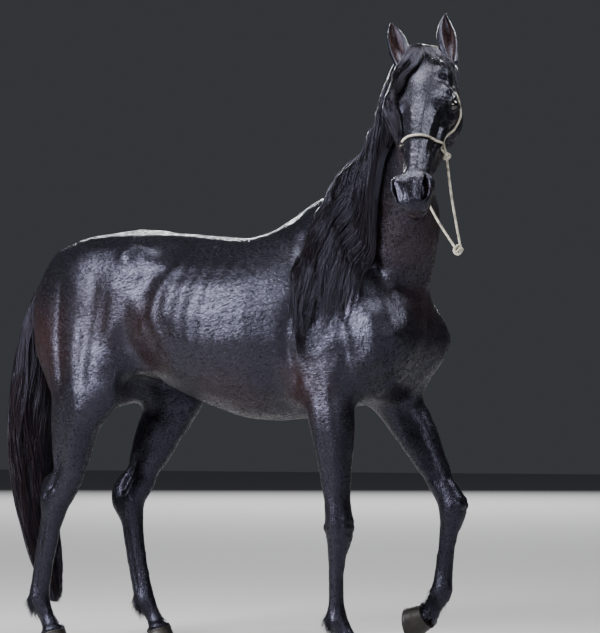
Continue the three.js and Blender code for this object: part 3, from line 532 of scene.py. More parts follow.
def strokeList():
    ribs = [ribStroke(x) for x in range(ribPlan["first"], ribPlan["last"], ribPlan["step"])]
    jobs = []
    for places, radius, height in list(bodyStrokes.values()) + ribs:
        jobs += [(bodySpot(places), radius, height)]
        if any(abs(p[1]) > 1 for p in places):
            jobs += [(bodySpot(mirrored(places)), radius, height)]
    jobs += [(bodySpot(places), radius, height) for places, radius, height in neckStrokes.values()]
    for leg in legNames:
        strokes = foreStrokes if leg.startswith("fore") else hindStrokes
        for start, end, places, radius, height in list(strokes.values()) + list(lowStrokes.values()):
            jobs += [(legPlaces(leg, start, end, places), radius, height)]
    for places, radius, height in headStrokes.values():
        jobs += [(headSpot(places), radius, height)]
        if any(p[1] for p in places):
            jobs += [(headSpot(mirrored(places)), radius, height)]
    return jobs


points, normals = readPoints(skin), readNormals(skin)
for chain, radius, height in strokeList():
    if len(chain) > 1:
        chain = smoothCurve(chain, len(chain) * 3)
    stroke(points, normals, chain, radius, height)
writePoints(skin, points)
relax(skin, 2, 0.35)


# Where strokes have raised the skin far beyond the form, most of the excess is taken back.
def holdBack(obj, allowed, kept):
    points, normals, gap = gapToForm(obj, 2)
    excess = np.maximum(-gap - allowed, 0)
    writePoints(obj, points - normals * (excess * (1 - kept))[:, None])


holdBack(skin, 0.004, 0.3)
print("skin worked over")

# The nostril is a comma-shaped opening: its loop, in head places on the left side.
nostrilPlan = {
    "loop": [(513, 33, -45), (529, 40, -52), (545, 44, -60), (561, 45, -70), (577, 40, -81), (591, 27, -90),
             (588, 21, -81), (573, 24, -66), (555, 27, -56), (531, 29, -50)],
    "rightShare": 0.45,  # the right one is drawn narrower, as its wing lies closer
    "depth": 26.0,
    "wall": 6.0,  # how far in from the loop the full depth is reached
    "rim": 9.5,
    "rimWidth": 15.0,
    "inward": (-0.55, -0.45, -0.7),
}


# How far inside a flat loop each flat place is, in the loop's units; negative outside.
def insideLoop(places, loop):
    gap = np.full(len(places), 1e9)
    turns = np.zeros(len(places), bool)
    for a, b in zip(loop, np.roll(loop, -1, axis=0)):
        d = b - a
        t = np.clip(((places - a) @ d) / (d @ d), 0, 1)
        gap = np.minimum(gap, np.hypot(*(places - a - t[:, None] * d).T))
        over = (a[1] > places[:, 1]) != (b[1] > places[:, 1])
        across = a[0] + (places[:, 1] - a[1]) / np.where(b[1] == a[1], 1, b[1] - a[1]) * (b[0] - a[0])
        turns ^= over & (places[:, 0] < across)
    return np.where(turns, gap, -gap)


def openNostril(obj, side):
    plan = nostrilPlan
    flip = np.array((1.0, side, 1.0))
    loop = np.array(plan["loop"], float)
    if side < 0:
        loop[:, 1] = 44 - (44 - loop[:, 1]) * plan["rightShare"]
    loop = smoothCurve(np.vstack([loop, loop[:1]]), 41)[:-1]
    middle = loop.mean(0)
    axes = np.linalg.svd(loop - middle)[2]
    points, normals = readPoints(obj), readNormals(obj)
    local = inHead(points) * flip
    near = np.nonzero(np.linalg.norm(local - middle, axis=1) < 72)[0]
    flat = (local[near] - middle) @ axes[:2].T
    depth = insideLoop(flat, (loop - middle) @ axes[:2].T)
    facing = (normals[near] @ headRows.T * flip) @ np.abs(axes[2] * (0, 0, 1) + (0.3, 0.5, 0))
    depth = np.where(facing > -0.1, depth, -99)
    sink = plan["depth"] * smoothFall(1 - depth / plan["wall"])
    outer = np.clip(local[near][:, 1] - 22, 0, 22) / 22
    rim = plan["rim"] * smoothFall(np.abs(depth + 4.5) / plan["rimWidth"]) * (0.3 + 0.7 * outer) * (depth < 3)
    move = np.outer(sink, plan["inward"]) + np.outer(rim, (0.1, 0.62, 0.5))
    points[near] += (move * flip) @ headRows * mm
    writePoints(obj, points)


for side in (1, -1):
    openNostril(skin, side)
room = skinPlan["tuftRoom"]
lowest, highest = np.array(cadBox[0]) + (room, room, 0), np.array(cadBox[1]) - room
writePoints(skin, np.clip(readPoints(skin), lowest, highest))

# The skin makes way for each eyeball, and a ring of lid lies around the opening.
lidPlan = {
    "reach": 66.0,  # half the opening's length, in degrees seen from the ball's middle
    "high": 49.0,
    "low": 38.0,
    "turn": -14.0,
    "power": 1.55,
    # (degrees beyond the opening, millimetres from the ball's middle)
    "profile": [(-1.5, 20.6), (-0.5, 21.8), (1, 22.5), (3, 22.8), (6, 22.7), (8.5, 22.4), (11, 23.1),
                (15, 23.3), (19, 22.9), (24, 22.0), (30, 20.6), (30, 18.0), (15, 17.0), (0, 17.5)],
}


def eyeFrame(side):
    look = unit(np.array(eyePlan["look"]) * (1, side, 1))
    forward = unit(np.cross(look, (0.0, 0.0, 1.0)) * side)
    upward = np.cross(forward, look) * side
    turn = math.radians(lidPlan["turn"])
    forward, upward = (forward * math.cos(turn) + upward * math.sin(turn),
                       upward * math.cos(turn) - forward * math.sin(turn))
    middle = np.array(eyePlan["place"]) * (1, side, 1)
    return middle, look, forward, upward


# How far the opening between the lids reaches, in degrees from its middle; the power sets its almond shape.
def openingAt(angle):
    tall = np.where(np.sin(angle) > 0, lidPlan["high"], lidPlan["low"])
    wide, power = lidPlan["reach"], lidPlan["power"]
    return (np.abs(np.cos(angle) / wide) ** power + np.abs(np.sin(angle) / tall) ** power) ** (-1 / power)


def makeWayForEye(obj, side):
    middle, look, forward, upward = eyeFrame(side)
    points = readPoints(obj)
    local = inHead(points) - middle
    reach = np.linalg.norm(local, axis=1)
    near = np.nonzero(reach < 46)[0]
    ways = local[near] / reach[near][:, None]
    tilt = np.degrees(np.arccos(np.clip(ways @ look, -1, 1)))
    beyond = tilt - openingAt(np.arctan2(ways @ upward, ways @ forward))
    lidFloor = 16.5 + 6.6 * smoothFall((8 - beyond) / 10)
    share = smoothFall((beyond - 17) / 36)  # of the ball's influence, which ends on the face round it
    target = reach[near] * (1 - share) + lidFloor * share
    points[near] = headSpot(middle + ways * target[:, None])
    writePoints(obj, points)


# Closed rings of places skinned into one solid: capped at its ends, or closed on itself
def loftRings(name, rings, closed=False):
    count = len(rings[0])
    verts = [tuple(p) for ring in rings for p in ring]
    faces = []
    for r in range(len(rings) - (0 if closed else 1)):
        s = (r + 1) % len(rings)
        faces += [(r * count + i, r * count + (i + 1) % count, s * count + (i + 1) % count, s * count + i)
                  for i in range(count)]
    if not closed:
        faces += [tuple(reversed(range(count))), tuple(range(len(verts) - count, len(verts)))]
    obj = makeObject(name, verts, faces)
    faceOutward(obj)
    return obj


def faceOutward(obj):
    bm = bmesh.new()
    bm.from_mesh(obj.data)
    bmesh.ops.recalc_face_normals(bm, faces=bm.faces)
    if bm.calc_volume(signed=True) < 0:
        bmesh.ops.reverse_faces(bm, faces=bm.faces)
    bm.to_mesh(obj.data)
    bm.free()


def lidRing(name, side):
    middle, look, forward, upward = eyeFrame(side)
    rings = []
    for angle in np.arange(96) * 2 * math.pi / 96:
        edge = float(openingAt(np.array(angle)))
        upper = max(math.sin(angle), 0)
        ring = []
        for extra, reach in lidPlan["profile"]:
            tilt = math.radians(edge + extra)
            fold = (1.0 * upper if 2 < extra < 8 else 0) + (0.7 if 12 < extra < 22 else 0) * upper
            across = math.cos(angle) * forward + math.sin(angle) * upward
            crease = 0.22 * math.sin(17 * angle + 0.5 * extra) * (5 < extra < 26)
            way = math.cos(tilt) * look + math.sin(tilt) * across
            ring.append(headSpot(middle + way * (reach + fold + crease)))
        rings.append(ring)
    return loftRings(name, rings, closed=True)


lids = []
for side in (1, -1):
    makeWayForEye(skin, side)
    lids.append(lidRing("lid", side))
print("eyelids made")

# Degrees from the middle of the pupil, but for the cornea's height in millimetres
eyeballPlan = {"cornea": 1.3, "corneaReach": 42.0, "iris": 37.0, "pupilLong": 22.0, "pupilHigh": 10.0}


def eyeball(name, side):
    middle, look, forward, upward = eyeFrame(side)
    rings, tints = [], []
    for r in range(1, 36):
        tilt = math.pi * (r / 36) ** 1.25
        bulge = eyeballPlan["cornea"] * float(smoothFall(math.degrees(tilt) / eyeballPlan["corneaReach"]))
        ring = []
        for k in range(40):
            angle = 2 * math.pi * k / 40
            across = math.cos(angle) * forward + math.sin(angle) * upward
            ring.append(headSpot(middle + (math.cos(tilt) * look + math.sin(tilt) * across)
                                 * (eyePlan["radius"] - 0.2 + bulge)))
            away = math.degrees(tilt)
            pupil = math.hypot(away * math.cos(angle) / eyeballPlan["pupilLong"],
                               away * math.sin(angle) / eyeballPlan["pupilHigh"])
            tints.append(0.0 if pupil < 1 else 0.5 if away < eyeballPlan["iris"] else 1.0)
        rings.append(ring)
    obj = loftRings(name, rings)
    addNumbers(obj, "zone", tints)
    return obj


eyes = {"eye_right": eyeball("eyeballRight", -1), "eye_left": eyeball("eyeballLeft", 1)}

# Ears are cupped leaves; their places are on the head.
earPlan = {
    "ear_right": {"base": (8, -74, -20), "tip": (-136, -112, 36), "open": (0.25, -0.1, 0.93)},
    "ear_left": {"base": (8, 78, -20), "tip": (-141, 60, 40), "open": (0.2, 0.5, 0.8)},
    # (share of the height, half width, depth, share that the wall takes)
    "stations": [(-0.14, 20, 17, 0.95), (0.1, 26.5, 20.5, 0.4), (0.35, 32.5, 21.5, 0.2),
                 (0.6, 30, 17.5, 0.17), (0.82, 18.5, 11.5, 0.24), (0.94, 8.5, 6.5, 0.45),
                 (1.0, 2.5, 2.5, 0.8)],
    "outerPoints": 30,
    "innerPoints": 26,
    "bend": 10,
    "hairs": 420,
}


def earFrame(plan):
    base, tip, opening = (np.array(plan[k], float) for k in ("base", "tip", "open"))
    length = np.linalg.norm(tip - base)
    rise = (tip - base) / length
    back = unit(rise * (opening @ rise) - opening)
    return base, length, rise, back, np.cross(rise, back)


def earLeaf(name, plan):
    base, length, rise, back, across = earFrame(plan)
    outer = np.radians(np.linspace(-140, 140, earPlan["outerPoints"]))
    inner = np.radians(np.linspace(124, -124, earPlan["innerPoints"]))
    turns = np.concatenate([outer, inner])
    ripple = 1 + 0.03 * np.sin(inner * 5)
    rings = []
    for t, wide, deep, wall in smoothCurve(earPlan["stations"], 30):
        centre = base + rise * t * length + back * earPlan["bend"] * math.sin(math.pi * t)
        reach = np.concatenate([np.ones(len(outer)), (1 - wall) * ripple])
        ring = np.outer(np.sin(turns) * wide * reach, across) + np.outer(np.cos(turns) * deep * reach, back)
        rings.append(headSpot(centre + ring))
    return loftRings(name, rings)


ears = {name: earLeaf(name + "Leaf", earPlan[name]) for name in ("ear_right", "ear_left")}

# A hoof is its wall from the sole to the hairline, in millimetres about the coronet.
hoofPlan = {
    "soleFromCoronet": (18.0, -70.0),
    # (along, up) of the ring's middle, share of the half width, reach to the front and back, forward lean
    "rings": [((-2, 0), 1.0, 67, 53, 0), ((-3, 9), 1.0, 64, 53, 0), ((-17, 58), 0.8, 45, 41, 10),
              ((-18, 78), 0.74, 40, 37, 11)],
    "foreWidth": 58.0,
    "hindWidth": 53.0,
    "turns": {"fore_left": 80.0},
    "hairlineSlope": 0.28,
    "sides": 56,
    "growth": 0.5,  # height of the growth rings
    # (share of the way out from the middle of the sole, height above the ground)
    "sole": [(0.02, 9), (0.2, 9), (0.4, 8), (0.6, 6.5), (0.78, 4.5), (0.86, 1.2), (0.9, 0.2), (0.97, 0)],
}


def hoofWidth(leg):
    return hoofPlan["foreWidth"] if leg.startswith("fore") else hoofPlan["hindWidth"]


# Turns places from a hoof's own axes to the body's, or the other way where way is -1.
def hoofTurn(leg, places, way=1):
    turn = way * math.radians(hoofPlan["turns"].get(leg, 0.0))
    cos, sin = math.cos(turn), math.sin(turn)
    x, y, z = np.moveaxis(np.asarray(places, float), -1, 0)
    return np.stack([x * cos + z * sin, y, z * cos - x * sin], -1)


def hoofWall(angle, width):
    soleX, soleZ = hoofPlan["soleFromCoronet"]
    spots = []
    for (x, z), share, front, rear, lean in hoofPlan["rings"]:
        reach = front if math.cos(angle) > 0 else rear
        heel = 1 - 0.16 * math.exp(-((math.pi - angle) / 0.2) ** 2)
        spots.append((soleX + x + math.cos(angle) * reach * heel, math.sin(angle) * width * share,
                      soleZ + z + math.cos(angle) * lean * min(z / 20, 1)))
    way = smoothCurve(spots, 90)
    below = np.nonzero(way[:, 2] < hoofPlan["hairlineSlope"] * way[:, 0] - 1.5)[0]
    return way[:below[-1] + 1]


def hoof(leg):
    plan = hoofPlan
    angles = [2 * math.pi * (i + 0.5) / plan["sides"] for i in range(plan["sides"])]
    walls = [hoofWall(a, hoofWidth(leg)) for a in angles]
    levels = list(np.linspace(0, 1, 22))
    outer = [[wall[int(round(s * (len(wall) - 1)))] for wall in walls] for s in levels]
    middle = np.array((plan["soleFromCoronet"][0] - 2, 0.0, plan["soleFromCoronet"][1]))
    rings = []
    for share, raised in plan["sole"]:
        ring = []
        for p in outer[0]:
            q = middle + (p - middle) * share
            q[2] = middle[2] + raised
            rear = (middle[0] + 12 - q[0]) / 60
            frog = smoothFall(abs(q[1]) / (5 + 20 * max(rear, 0))) * (rear > 0) * (share < 0.9)
            q[2] -= 0.75 * raised * frog
            ring.append(q)
        rings.append(ring)
    for s, ring in zip(levels, outer):
        swell = plan["growth"] * math.sin(s * 34) + 1.6 * math.exp(-((s - 0.93) / 0.05) ** 2)
        centre = np.mean(ring, axis=0)
        rings.append([p + (p - centre) / np.linalg.norm(p - centre) * swell * (s > 0.02) for p in ring])
    top = rings[-1]
    centre = np.mean(top, axis=0)
    rings += [[centre + (p - centre) * k for p in top] for k in (0.9, 0.5, 0.05)]
    return loftRings(leg + "Hoof", [bodySpot(joints[leg]["coronet"] + hoofTurn(leg, ring)) for ring in rings])


hooves = {leg + "_hoof": hoof(leg) for leg in legNames}


# The skin's wall is brought out to the hoof's upper edge, so hair meets horn without a step.
def meetHoof(obj, leg):
    middle = bodySpot(joints[leg]["coronet"])
    points = readPoints(obj)
    local = hoofTurn(leg, points - middle, way=-1)
    x, y, z = local.T
    reach = np.hypot(x / (42.5 * mm), y / (0.78 * hoofWidth(leg) * mm))
    height = np.abs(z - hoofPlan["hairlineSlope"] * x + 4 * mm) / (36 * mm)
    near = (np.linalg.norm(local, axis=1) < 80 * mm) & (height < 1) & (reach > 0.5) & (reach < 1)
    grow = 1 + (1 / reach[near] - 1) * smoothFall(height[near])
    x[near] *= grow
    y[near] *= grow
    points[near] = hoofTurn(leg, local[near]) + middle
    writePoints(obj, points)


for leg in legNames:
    meetHoof(skin, leg)
print("eyes, ears and hooves made")

# The rope headcollar: three twisted strands along each way, with knots, in millimetres
ropePlan = {"strand": 1.95, "offset": 1.95, "pitch": 18.0, "step": 2.2, "lift": 5.0, "sides": 8}
halterPlan = {
    "cheekKnot": (286.0, -60.0, 18.0),  # along the head, degrees below its left side, lift off the skin
    "noseAngles": [-44, -34, -22, -8, 8, 24, 40, 56, 72, 90],
    "noseApex": 371.0,
    "crownWay": [(262, -46), (212, -35), (160, -26), (105, -16), (50, -6), (0, 8), (-36, 27), (-48, 55),
                 (-52, 90)],
    "chinKnot": (1050.0, -492.0, 1296.0),
    "chinSag": 24.0,
}
skinTree = surfaceTree(skin)


# A place on the head at along, turned by angle degrees from its left side over the top.
def onHead(along, angle, lift):
    way = np.array((0.0, math.cos(math.radians(angle)), math.sin(math.radians(angle))))
    start, world = headSpot((along, 0, -75) + way * 200), way @ headRows
    hit = skinTree.ray_cast(Vector(start), Vector(-world), 0.2)[0]
    return np.array(hit if hit is not None else headSpot((along, 0, -75) + way * 60)) + world * lift * mm


def lengthsAlong(way):
    return np.concatenate([[0], np.cumsum(np.linalg.norm(np.diff(way, axis=0), axis=1))])


# The places on a way at these lengths from its start
def placesAt(way, marks):
    return np.stack([np.interp(marks, lengthsAlong(way), way[:, c]) for c in range(3)], 1)


def waySamples(places, step):
    way = smoothCurve(places, len(places) * 40)
    full = lengthsAlong(way)[-1]
    marks = np.linspace(0, full, max(int(full / (step * mm)), 4))
    return placesAt(way, marks), marks


# Two directions across a way at each of its places, carried along it without twist
def wayFrames(way):
    ahead = unit(np.gradient(way, axis=0))
    side = np.cross(ahead[0], (0.3, 0.2, 0.93))
    sides = []
    for a in ahead:
        side = unit(side - a * (side @ a))
        sides.append(side)
    sides = np.array(sides)
    return sides, np.cross(ahead, sides)


def tubeRings(way, radius, sides):
    across, up = wayFrames(way)
    angles = np.linspace(0, 2 * math.pi, sides, endpoint=False)
    radius = np.broadcast_to(radius, (len(way),))
    return [[way[i] + (across[i] * math.cos(a) + up[i] * math.sin(a)) * radius[i] for a in angles]
            for i in range(len(way))]


def twistedRope(name, places):
    way, marks = waySamples(places, ropePlan["step"])
    across, up = wayFrames(way)
    strands = []
    for k in range(3):
        phase = ((marks * 1000 / ropePlan["pitch"] + k / 3) * 2 * math.pi)[:, None]
        strand = way + (across * np.cos(phase) + up * np.sin(phase)) * ropePlan["offset"] * mm
        strands.append(loftRings(name, tubeRings(strand, ropePlan["strand"] * mm, ropePlan["sides"])))
    return joinObjects(strands, name)


# A knot: one closed strand wound through itself, laid over a second that is turned.
def ropeKnot(name, centre, radius, turn):
    t = np.linspace(0, 2 * math.pi, 90, endpoint=False)
    swell = 1 + 0.42 * np.cos(3 * t)
    trefoil = np.stack([np.cos(2 * t) * swell, np.sin(2 * t) * swell, 0.75 * np.sin(3 * t)], 1)
    loops = []
    for k in range(2):
        ring = trefoil * (0.5 + 0.1 * k) * radius * mm
        spin = np.array(Matrix.Rotation(turn + k * 1.3, 3, Vector((1, 0.4, 0.2)).normalized()))
        way = ring @ spin.T + centre
        rings = tubeRings(np.vstack([way, way[:2]]), 0.3 * radius * mm, ropePlan["sides"])[1:-1]
        loops.append(loftRings(name, rings, closed=True))
    return joinObjects(loops, name)


cheekAlong, cheekAngle, cheekLift = halterPlan["cheekKnot"]
leftKnot, rightKnot = (onHead(cheekAlong, a, cheekLift) for a in (cheekAngle, 180 - cheekAngle))


def nosePlace(angle):
    share = (0.5 + 0.5 * math.sin(math.radians(angle))) ** 0.7
    return onHead(cheekAlong + (halterPlan["noseApex"] - cheekAlong) * share, angle, ropePlan["lift"])


noseRight = [180 - a for a in reversed(halterPlan["noseAngles"][:-1])]
crownRight = [(along, 180 - a) for along, a in reversed(halterPlan["crownWay"][:-1])]
noseWay = [nosePlace(a) for a in halterPlan["noseAngles"] + noseRight]
crownWay = [onHead(along, a, ropePlan["lift"]) for along, a in halterPlan["crownWay"] + crownRight]
chinKnot = bodySpot(halterPlan["chinKnot"])
sag = np.array((0, 0, -halterPlan["chinSag"] * mm))
chinLeft = [leftKnot, (leftKnot + chinKnot) / 2 - sag * 0.2, chinKnot + (0.007, 0.003, 0.005)]
chinRight = [rightKnot, (rightKnot + chinKnot) / 2 + sag, chinKnot + (-0.007, -0.003, 0.005)]
halter = {
    "halter_noseband": twistedRope("noseRope", [leftKnot, *noseWay, rightKnot]),
    "halter_crown": twistedRope("crownRope", [leftKnot, *crownWay, rightKnot]),
    "halter_chin_left": twistedRope("chinRopeLeft", chinLeft),
    "halter_chin_right": twistedRope("chinRopeRight", chinRight),
    "halter_knot_left": ropeKnot("knotLeft", leftKnot, 12, 0.4),
    "halter_knot_right": ropeKnot("knotRight", rightKnot, 12, 1.1),
    "halter_knot_chin": ropeKnot("knotChin", chinKnot, 14.5, 0.9),
}
print("halter made")

# Hair is placed on the unwrap by the skin face at its root, on an unwrapped copy of the skin.
skinUnwrap = copyOf(skin)
selectOnly([skinUnwrap], skinUnwrap)
bpy.ops.object.mode_set(mode="EDIT")
bpy.ops.mesh.select_all(action="SELECT")
bpy.ops.uv.smart_project(angle_limit=math.radians(80), island_margin=0.002)
bpy.ops.object.mode_set(mode="OBJECT")
loopPlaces = readArray(skinUnwrap.data.uv_layers.active.uv, "vector", 2)
facePlaces = loopPlaces[readArray(skinUnwrap.data.polygons, "loop_start", 1, np.int64)]
bpy.data.objects.remove(skinUnwrap)
print("skin unwrapped")


def nearestOnSkin(points):
    spots, normals, faces = [], [], []
    for p in points:
        spot, normal, face, _ = skinTree.find_nearest(Vector(p))
        spots.append(spot)
        normals.append(normal)
        faces.append(face)
    return np.array(spots), np.array(normals), np.array(faces)


# Markings shared by skin and hair: where black thins to reddish brown
rustZones = {  # (body place, radius, strength)
    "flank": ((-250, -230, 1120), 260, 0.24),
    "flankFold": ((-240, -230, 1000), 180, 0.28),
    "rearThigh": ((-700, -170, 1080), 330, 0.32),
    "thigh": ((-470, -230, 1180), 260, 0.2),
    "elbow": ((360, -200, 920), 210, 0.32),
    "belly": ((60, -150, 880), 320, 0.25),
    "neckFront": ((740, -110, 1400), 300, 0.34),
    "lowerNeck": ((700, -30, 1200), 220, 0.26),
    "underFace": ((880, -330, 1520), 240, 0.34),
}
rustHeadZones = {  # (head place, radius, strength)
    "lips": ((592, 0, -126), 66, 0.36),
    "underEye": ((236, 96, -96), 50, 0.35),
    "nostril": ((560, 44, -70), 34, 0.3),
    "jaw": ((200, 60, -240), 120, 0.5),
    "cheek": ((330, 60, -150), 80, 0.3),
}


def rustOf(points):
    rust = np.zeros(len(points))
    for local, zones in ((inBody(points), rustZones), (inHead(points), rustHeadZones)):
        for place, radius, strength in zones.values():
            for flip in (1, -1):
                gap = np.linalg.norm(local - np.array(place) * (1, flip, 1), axis=1)
                rust = np.maximum(rust, strength * smoothFall(gap / radius))
    return rust


# A mesh from its places, the corners of its faces in one row, and how many corners each face has
def fromArrays(name, verts, corners, sizes):
    mesh = bpy.data.meshes.new(name)
    mesh.vertices.add(len(verts))
    mesh.vertices.foreach_set("co", np.asarray(verts, np.float32).ravel())
    mesh.loops.add(len(corners))
    mesh.loops.foreach_set("vertex_index", np.asarray(corners, np.int32))
    mesh.polygons.add(len(sizes))
    mesh.polygons.foreach_set("loop_start", np.concatenate([[0], np.cumsum(sizes)[:-1]]).astype(np.int32))
    mesh.update(calc_edges=True)
    mesh.validate()
    return linkNew(name, mesh)


# Each hair or tuft lies on the unwrap close about its root's place.
def addBakePlaces(obj, rootPlaces, vertsEach):
    layer = obj.data.uv_layers.new(name="OFBake")
    corners = readArray(obj.data.loops, "vertex_index", 1, np.int64)
    tuft, part = corners // vertsEach, corners % vertsEach
    spread = np.stack([np.cos(part * 2.1), np.sin(part * 2.1)], 1) * 0.0015
    layer.uv.foreach_set("vector", (rootPlaces[tuft] + spread).astype(np.float32).ravel())


# Strands as closed three-sided tubes; ways is strands x places x 3 and radii is strands x places, in metres.
def strandMesh(name, ways, radii, rust):
    count, steps = ways.shape[:2]
    ahead = unit(np.gradient(ways, axis=1))
    side = unit(np.cross(ahead, (0.31, 0.2, 0.11)))
    up = np.cross(ahead, side)
    turns = [2 * math.pi * k / 3 for k in range(3)]
    rings = [ways + (side * math.cos(a) + up * math.sin(a)) * radii[..., None] for a in turns]
    verts = np.stack(rings, 2).reshape(-1, 3)
    each = steps * 3
    edges = [(s * 3 + k, s * 3 + (k + 1) % 3) for s in range(steps - 1) for k in range(3)]
    quads = [(a, b, b + 3, a + 3) for a, b in edges]
    faces = [c for quad in quads for c in quad] + [2, 1, 0] + [each - 3, each - 2, each - 1]
    sizes = [4] * len(quads) + [3, 3]
    corners = (np.arange(count)[:, None] * each + np.array(faces)).ravel()
    obj = fromArrays(name, verts, corners, sizes * count)
    _, _, faceOf = nearestOnSkin(ways[:, 0])
    addBakePlaces(obj, facePlaces[faceOf], each)
    addNumbers(obj, "rust", np.repeat(rust.reshape(-1), 3))
    return obj


# Guides side by side become a dense grid of places: rows across the guides, columns from root to tip.
def guideGrid(guides, rows, columns, place):
    along = [waySamples(place(g), 1.0)[0] for g in guides]
    along = [g[np.linspace(0, len(g) - 1, columns).astype(int)] for g in along]
    return np.stack([smoothCurve([g[c] for g in along], rows) for c in range(columns)], 1)


# The place in a grid at this share of its rows and of its columns
def lookUp(grid, row, column):
    rows, columns = grid.shape[:2]
    r = np.clip(row, 0, 1) * (rows - 1.001)
    c = np.clip(column, 0, 1) * (columns - 1.001)
    i, j = r.astype(int), c.astype(int)
    a, b = (r - i)[..., None], (c - j)[..., None]
    return (grid[i, j] * (1 - a) * (1 - b) + grid[i + 1, j] * a * (1 - b)
            + grid[i, j + 1] * (1 - a) * b + grid[i + 1, j + 1] * a * b)


# Mane guides are body places, from the crest down the right of the neck.
maneGuides = [
    [(408, 5, 1566), (395, -30, 1570), (352, -150, 1460), (338, -220, 1340), (330, -250, 1220),
     (322, -255, 1140), (322, -260, 1090)],
    [(522, -75, 1712), (505, -100, 1722), (445, -215, 1570), (400, -250, 1400), (380, -255, 1230),
     (370, -255, 1080), (368, -255, 965)],
    [(657, -180, 1830), (640, -205, 1840), (585, -275, 1690), (545, -280, 1520), (505, -255, 1350),
     (482, -235, 1180), (462, -225, 1030)],
    [(752, -250, 1900), (735, -275, 1912), (690, -320, 1780), (640, -300, 1600), (600, -270, 1450),
     (560, -245, 1290), (528, -228, 1110)],
    [(812, -280, 1934), (795, -303, 1940), (757, -390, 1800), (738, -440, 1690), (690, -285, 1640),
     (640, -255, 1520), (614, -236, 1360), (590, -228, 1230)],
]
# Lengths are in millimetres; gather, spread and shortest are shares; waves and crimps are turns in a length.
hairPlans = {
    "mane": {"locks": 122, "each": 13, "steps": 36, "clear": 5.0, "depth": 27.0, "wave": 13.0, "waves": 3.6,
             "crimp": 3.6, "crimps": 10.0, "thick": 1.6, "gather": 0.85, "spread": 0.014, "shortest": 0.6,
             "rust": 0.12},
    "forelock": {"locks": 46, "each": 12, "steps": 22, "clear": 2.5, "depth": 13.0, "wave": 7.0, "waves": 2.6,
                 "crimp": 2.4, "crimps": 6.5, "thick": 1.2, "gather": 0.85, "spread": 0.045, "shortest": 0.6,
                 "rust": 0.14},
}
hairPlans["poll"] = dict(hairPlans["forelock"], locks=46, each=10, wave=8.0, clear=10.0, depth=9.0,
                         shortest=0.15, spread=0.07, steps=14, crimps=2.5)


# Takes the kinks out of each way, whose ends stay.
def smoothWays(ways):
    ways[:, 1:-1] = (ways[:, :-2] + 2 * ways[:, 1:-1] + ways[:, 2:]) / 4


# Hair that lies on the skin. A lock's strands gather towards its tip and wave together.
def lyingHair(plan, grid, seed):
    draw = np.random.default_rng(seed)
    locks, each, steps = plan["locks"], plan["each"], plan["steps"]
    count = locks * each
    lockRow = np.sort(draw.uniform(-0.01, 1.01, locks))
    lock = np.repeat(np.arange(locks), each)
    share = np.linspace(0, 1, steps)[None, :]
    tipShare = (plan["shortest"] + (1 - plan["shortest"]) * draw.beta(2.6, 1.2, locks))[lock]
    tipShare = tipShare * draw.uniform(0.9, 1.0, count)
    column = share * tipShare[:, None]
    apart = draw.normal(0, plan["spread"], count)
    drift = draw.normal(0, plan["spread"] * 1.5, locks)[lock]
    row = lockRow[lock][:, None] + apart[:, None] * (1.25 - plan["gather"] * share) + drift[:, None] * share
    ways = lookUp(grid, row, column)
    phase = draw.uniform(0, 2 * math.pi, locks)[lock] + draw.normal(0, 0.35, count)
    rate = draw.uniform(0.8, 1.25, locks)[lock] * plan["waves"] * 2 * math.pi
    swing = np.sin(phase[:, None] + rate[:, None] * column) * plan["wave"] * (0.15 + column)
    swing += draw.normal(0, 1, (count, 1)) * 5.0 * share
    forward = unit(lookUp(grid, row + 0.01, column) - ways)
    ways = ways + forward * (swing * mm)[..., None]
    layer = np.clip(draw.uniform(0, 1, locks)[lock] * 0.7 + draw.uniform(0, 0.3, count), 0, 1)
    puff = 0.06 + 0.94 * np.minimum(1, np.minimum(share * 5, 1.6 - share))
    lift = plan["clear"] * np.minimum(1, share * 12) + plan["depth"] * layer[:, None] * puff
    lift += 2.0 * np.sin(phase[:, None] * 2 + share * 9) * np.minimum(1, share * 8)
    lift = np.where(share < 0.02, -5.0, lift)
    spots, normals, _ = nearestOnSkin(ways.reshape(-1, 3))
    spots, normals = spots.reshape(ways.shape), normals.reshape(ways.shape)
    for _ in range(3):
        normals[:, 1:-1] = normals[:, :-2] + normals[:, 1:-1] + normals[:, 2:]
        normals = unit(normals)
    ways = spots + normals * (lift * mm)[..., None]
    smoothWays(ways)
    fine = draw.uniform(0, 2 * math.pi, locks)[lock] + draw.normal(0, 0.5, count)
    fineRate = draw.uniform(0.85, 1.15, locks)[lock] * plan["crimps"] * 2 * math.pi
    crimp = np.sin(fine[:, None] + fineRate[:, None] * column) * plan["crimp"] * np.minimum(1, share * 4)
    ways = ways + forward * (crimp * mm)[..., None]
    taper = np.clip(np.minimum(0.55 + share * 4, (1.04 - share) * 3.2), 0.18, 1)
    radii = plan["thick"] * mm * taper * draw.uniform(0.7, 1.15, (count, 1))
    rust = plan["rust"] * draw.uniform(0.2, 1, (count, 1)) * (0.25 + share)
    return ways, radii, np.broadcast_to(rust, radii.shape)


def inPieces(name, ways, radii, rust, pieces):
    return [strandMesh(f"{name}{k + 1}", ways[k::pieces], radii[k::pieces], rust[k::pieces])
            for k in range(pieces)]


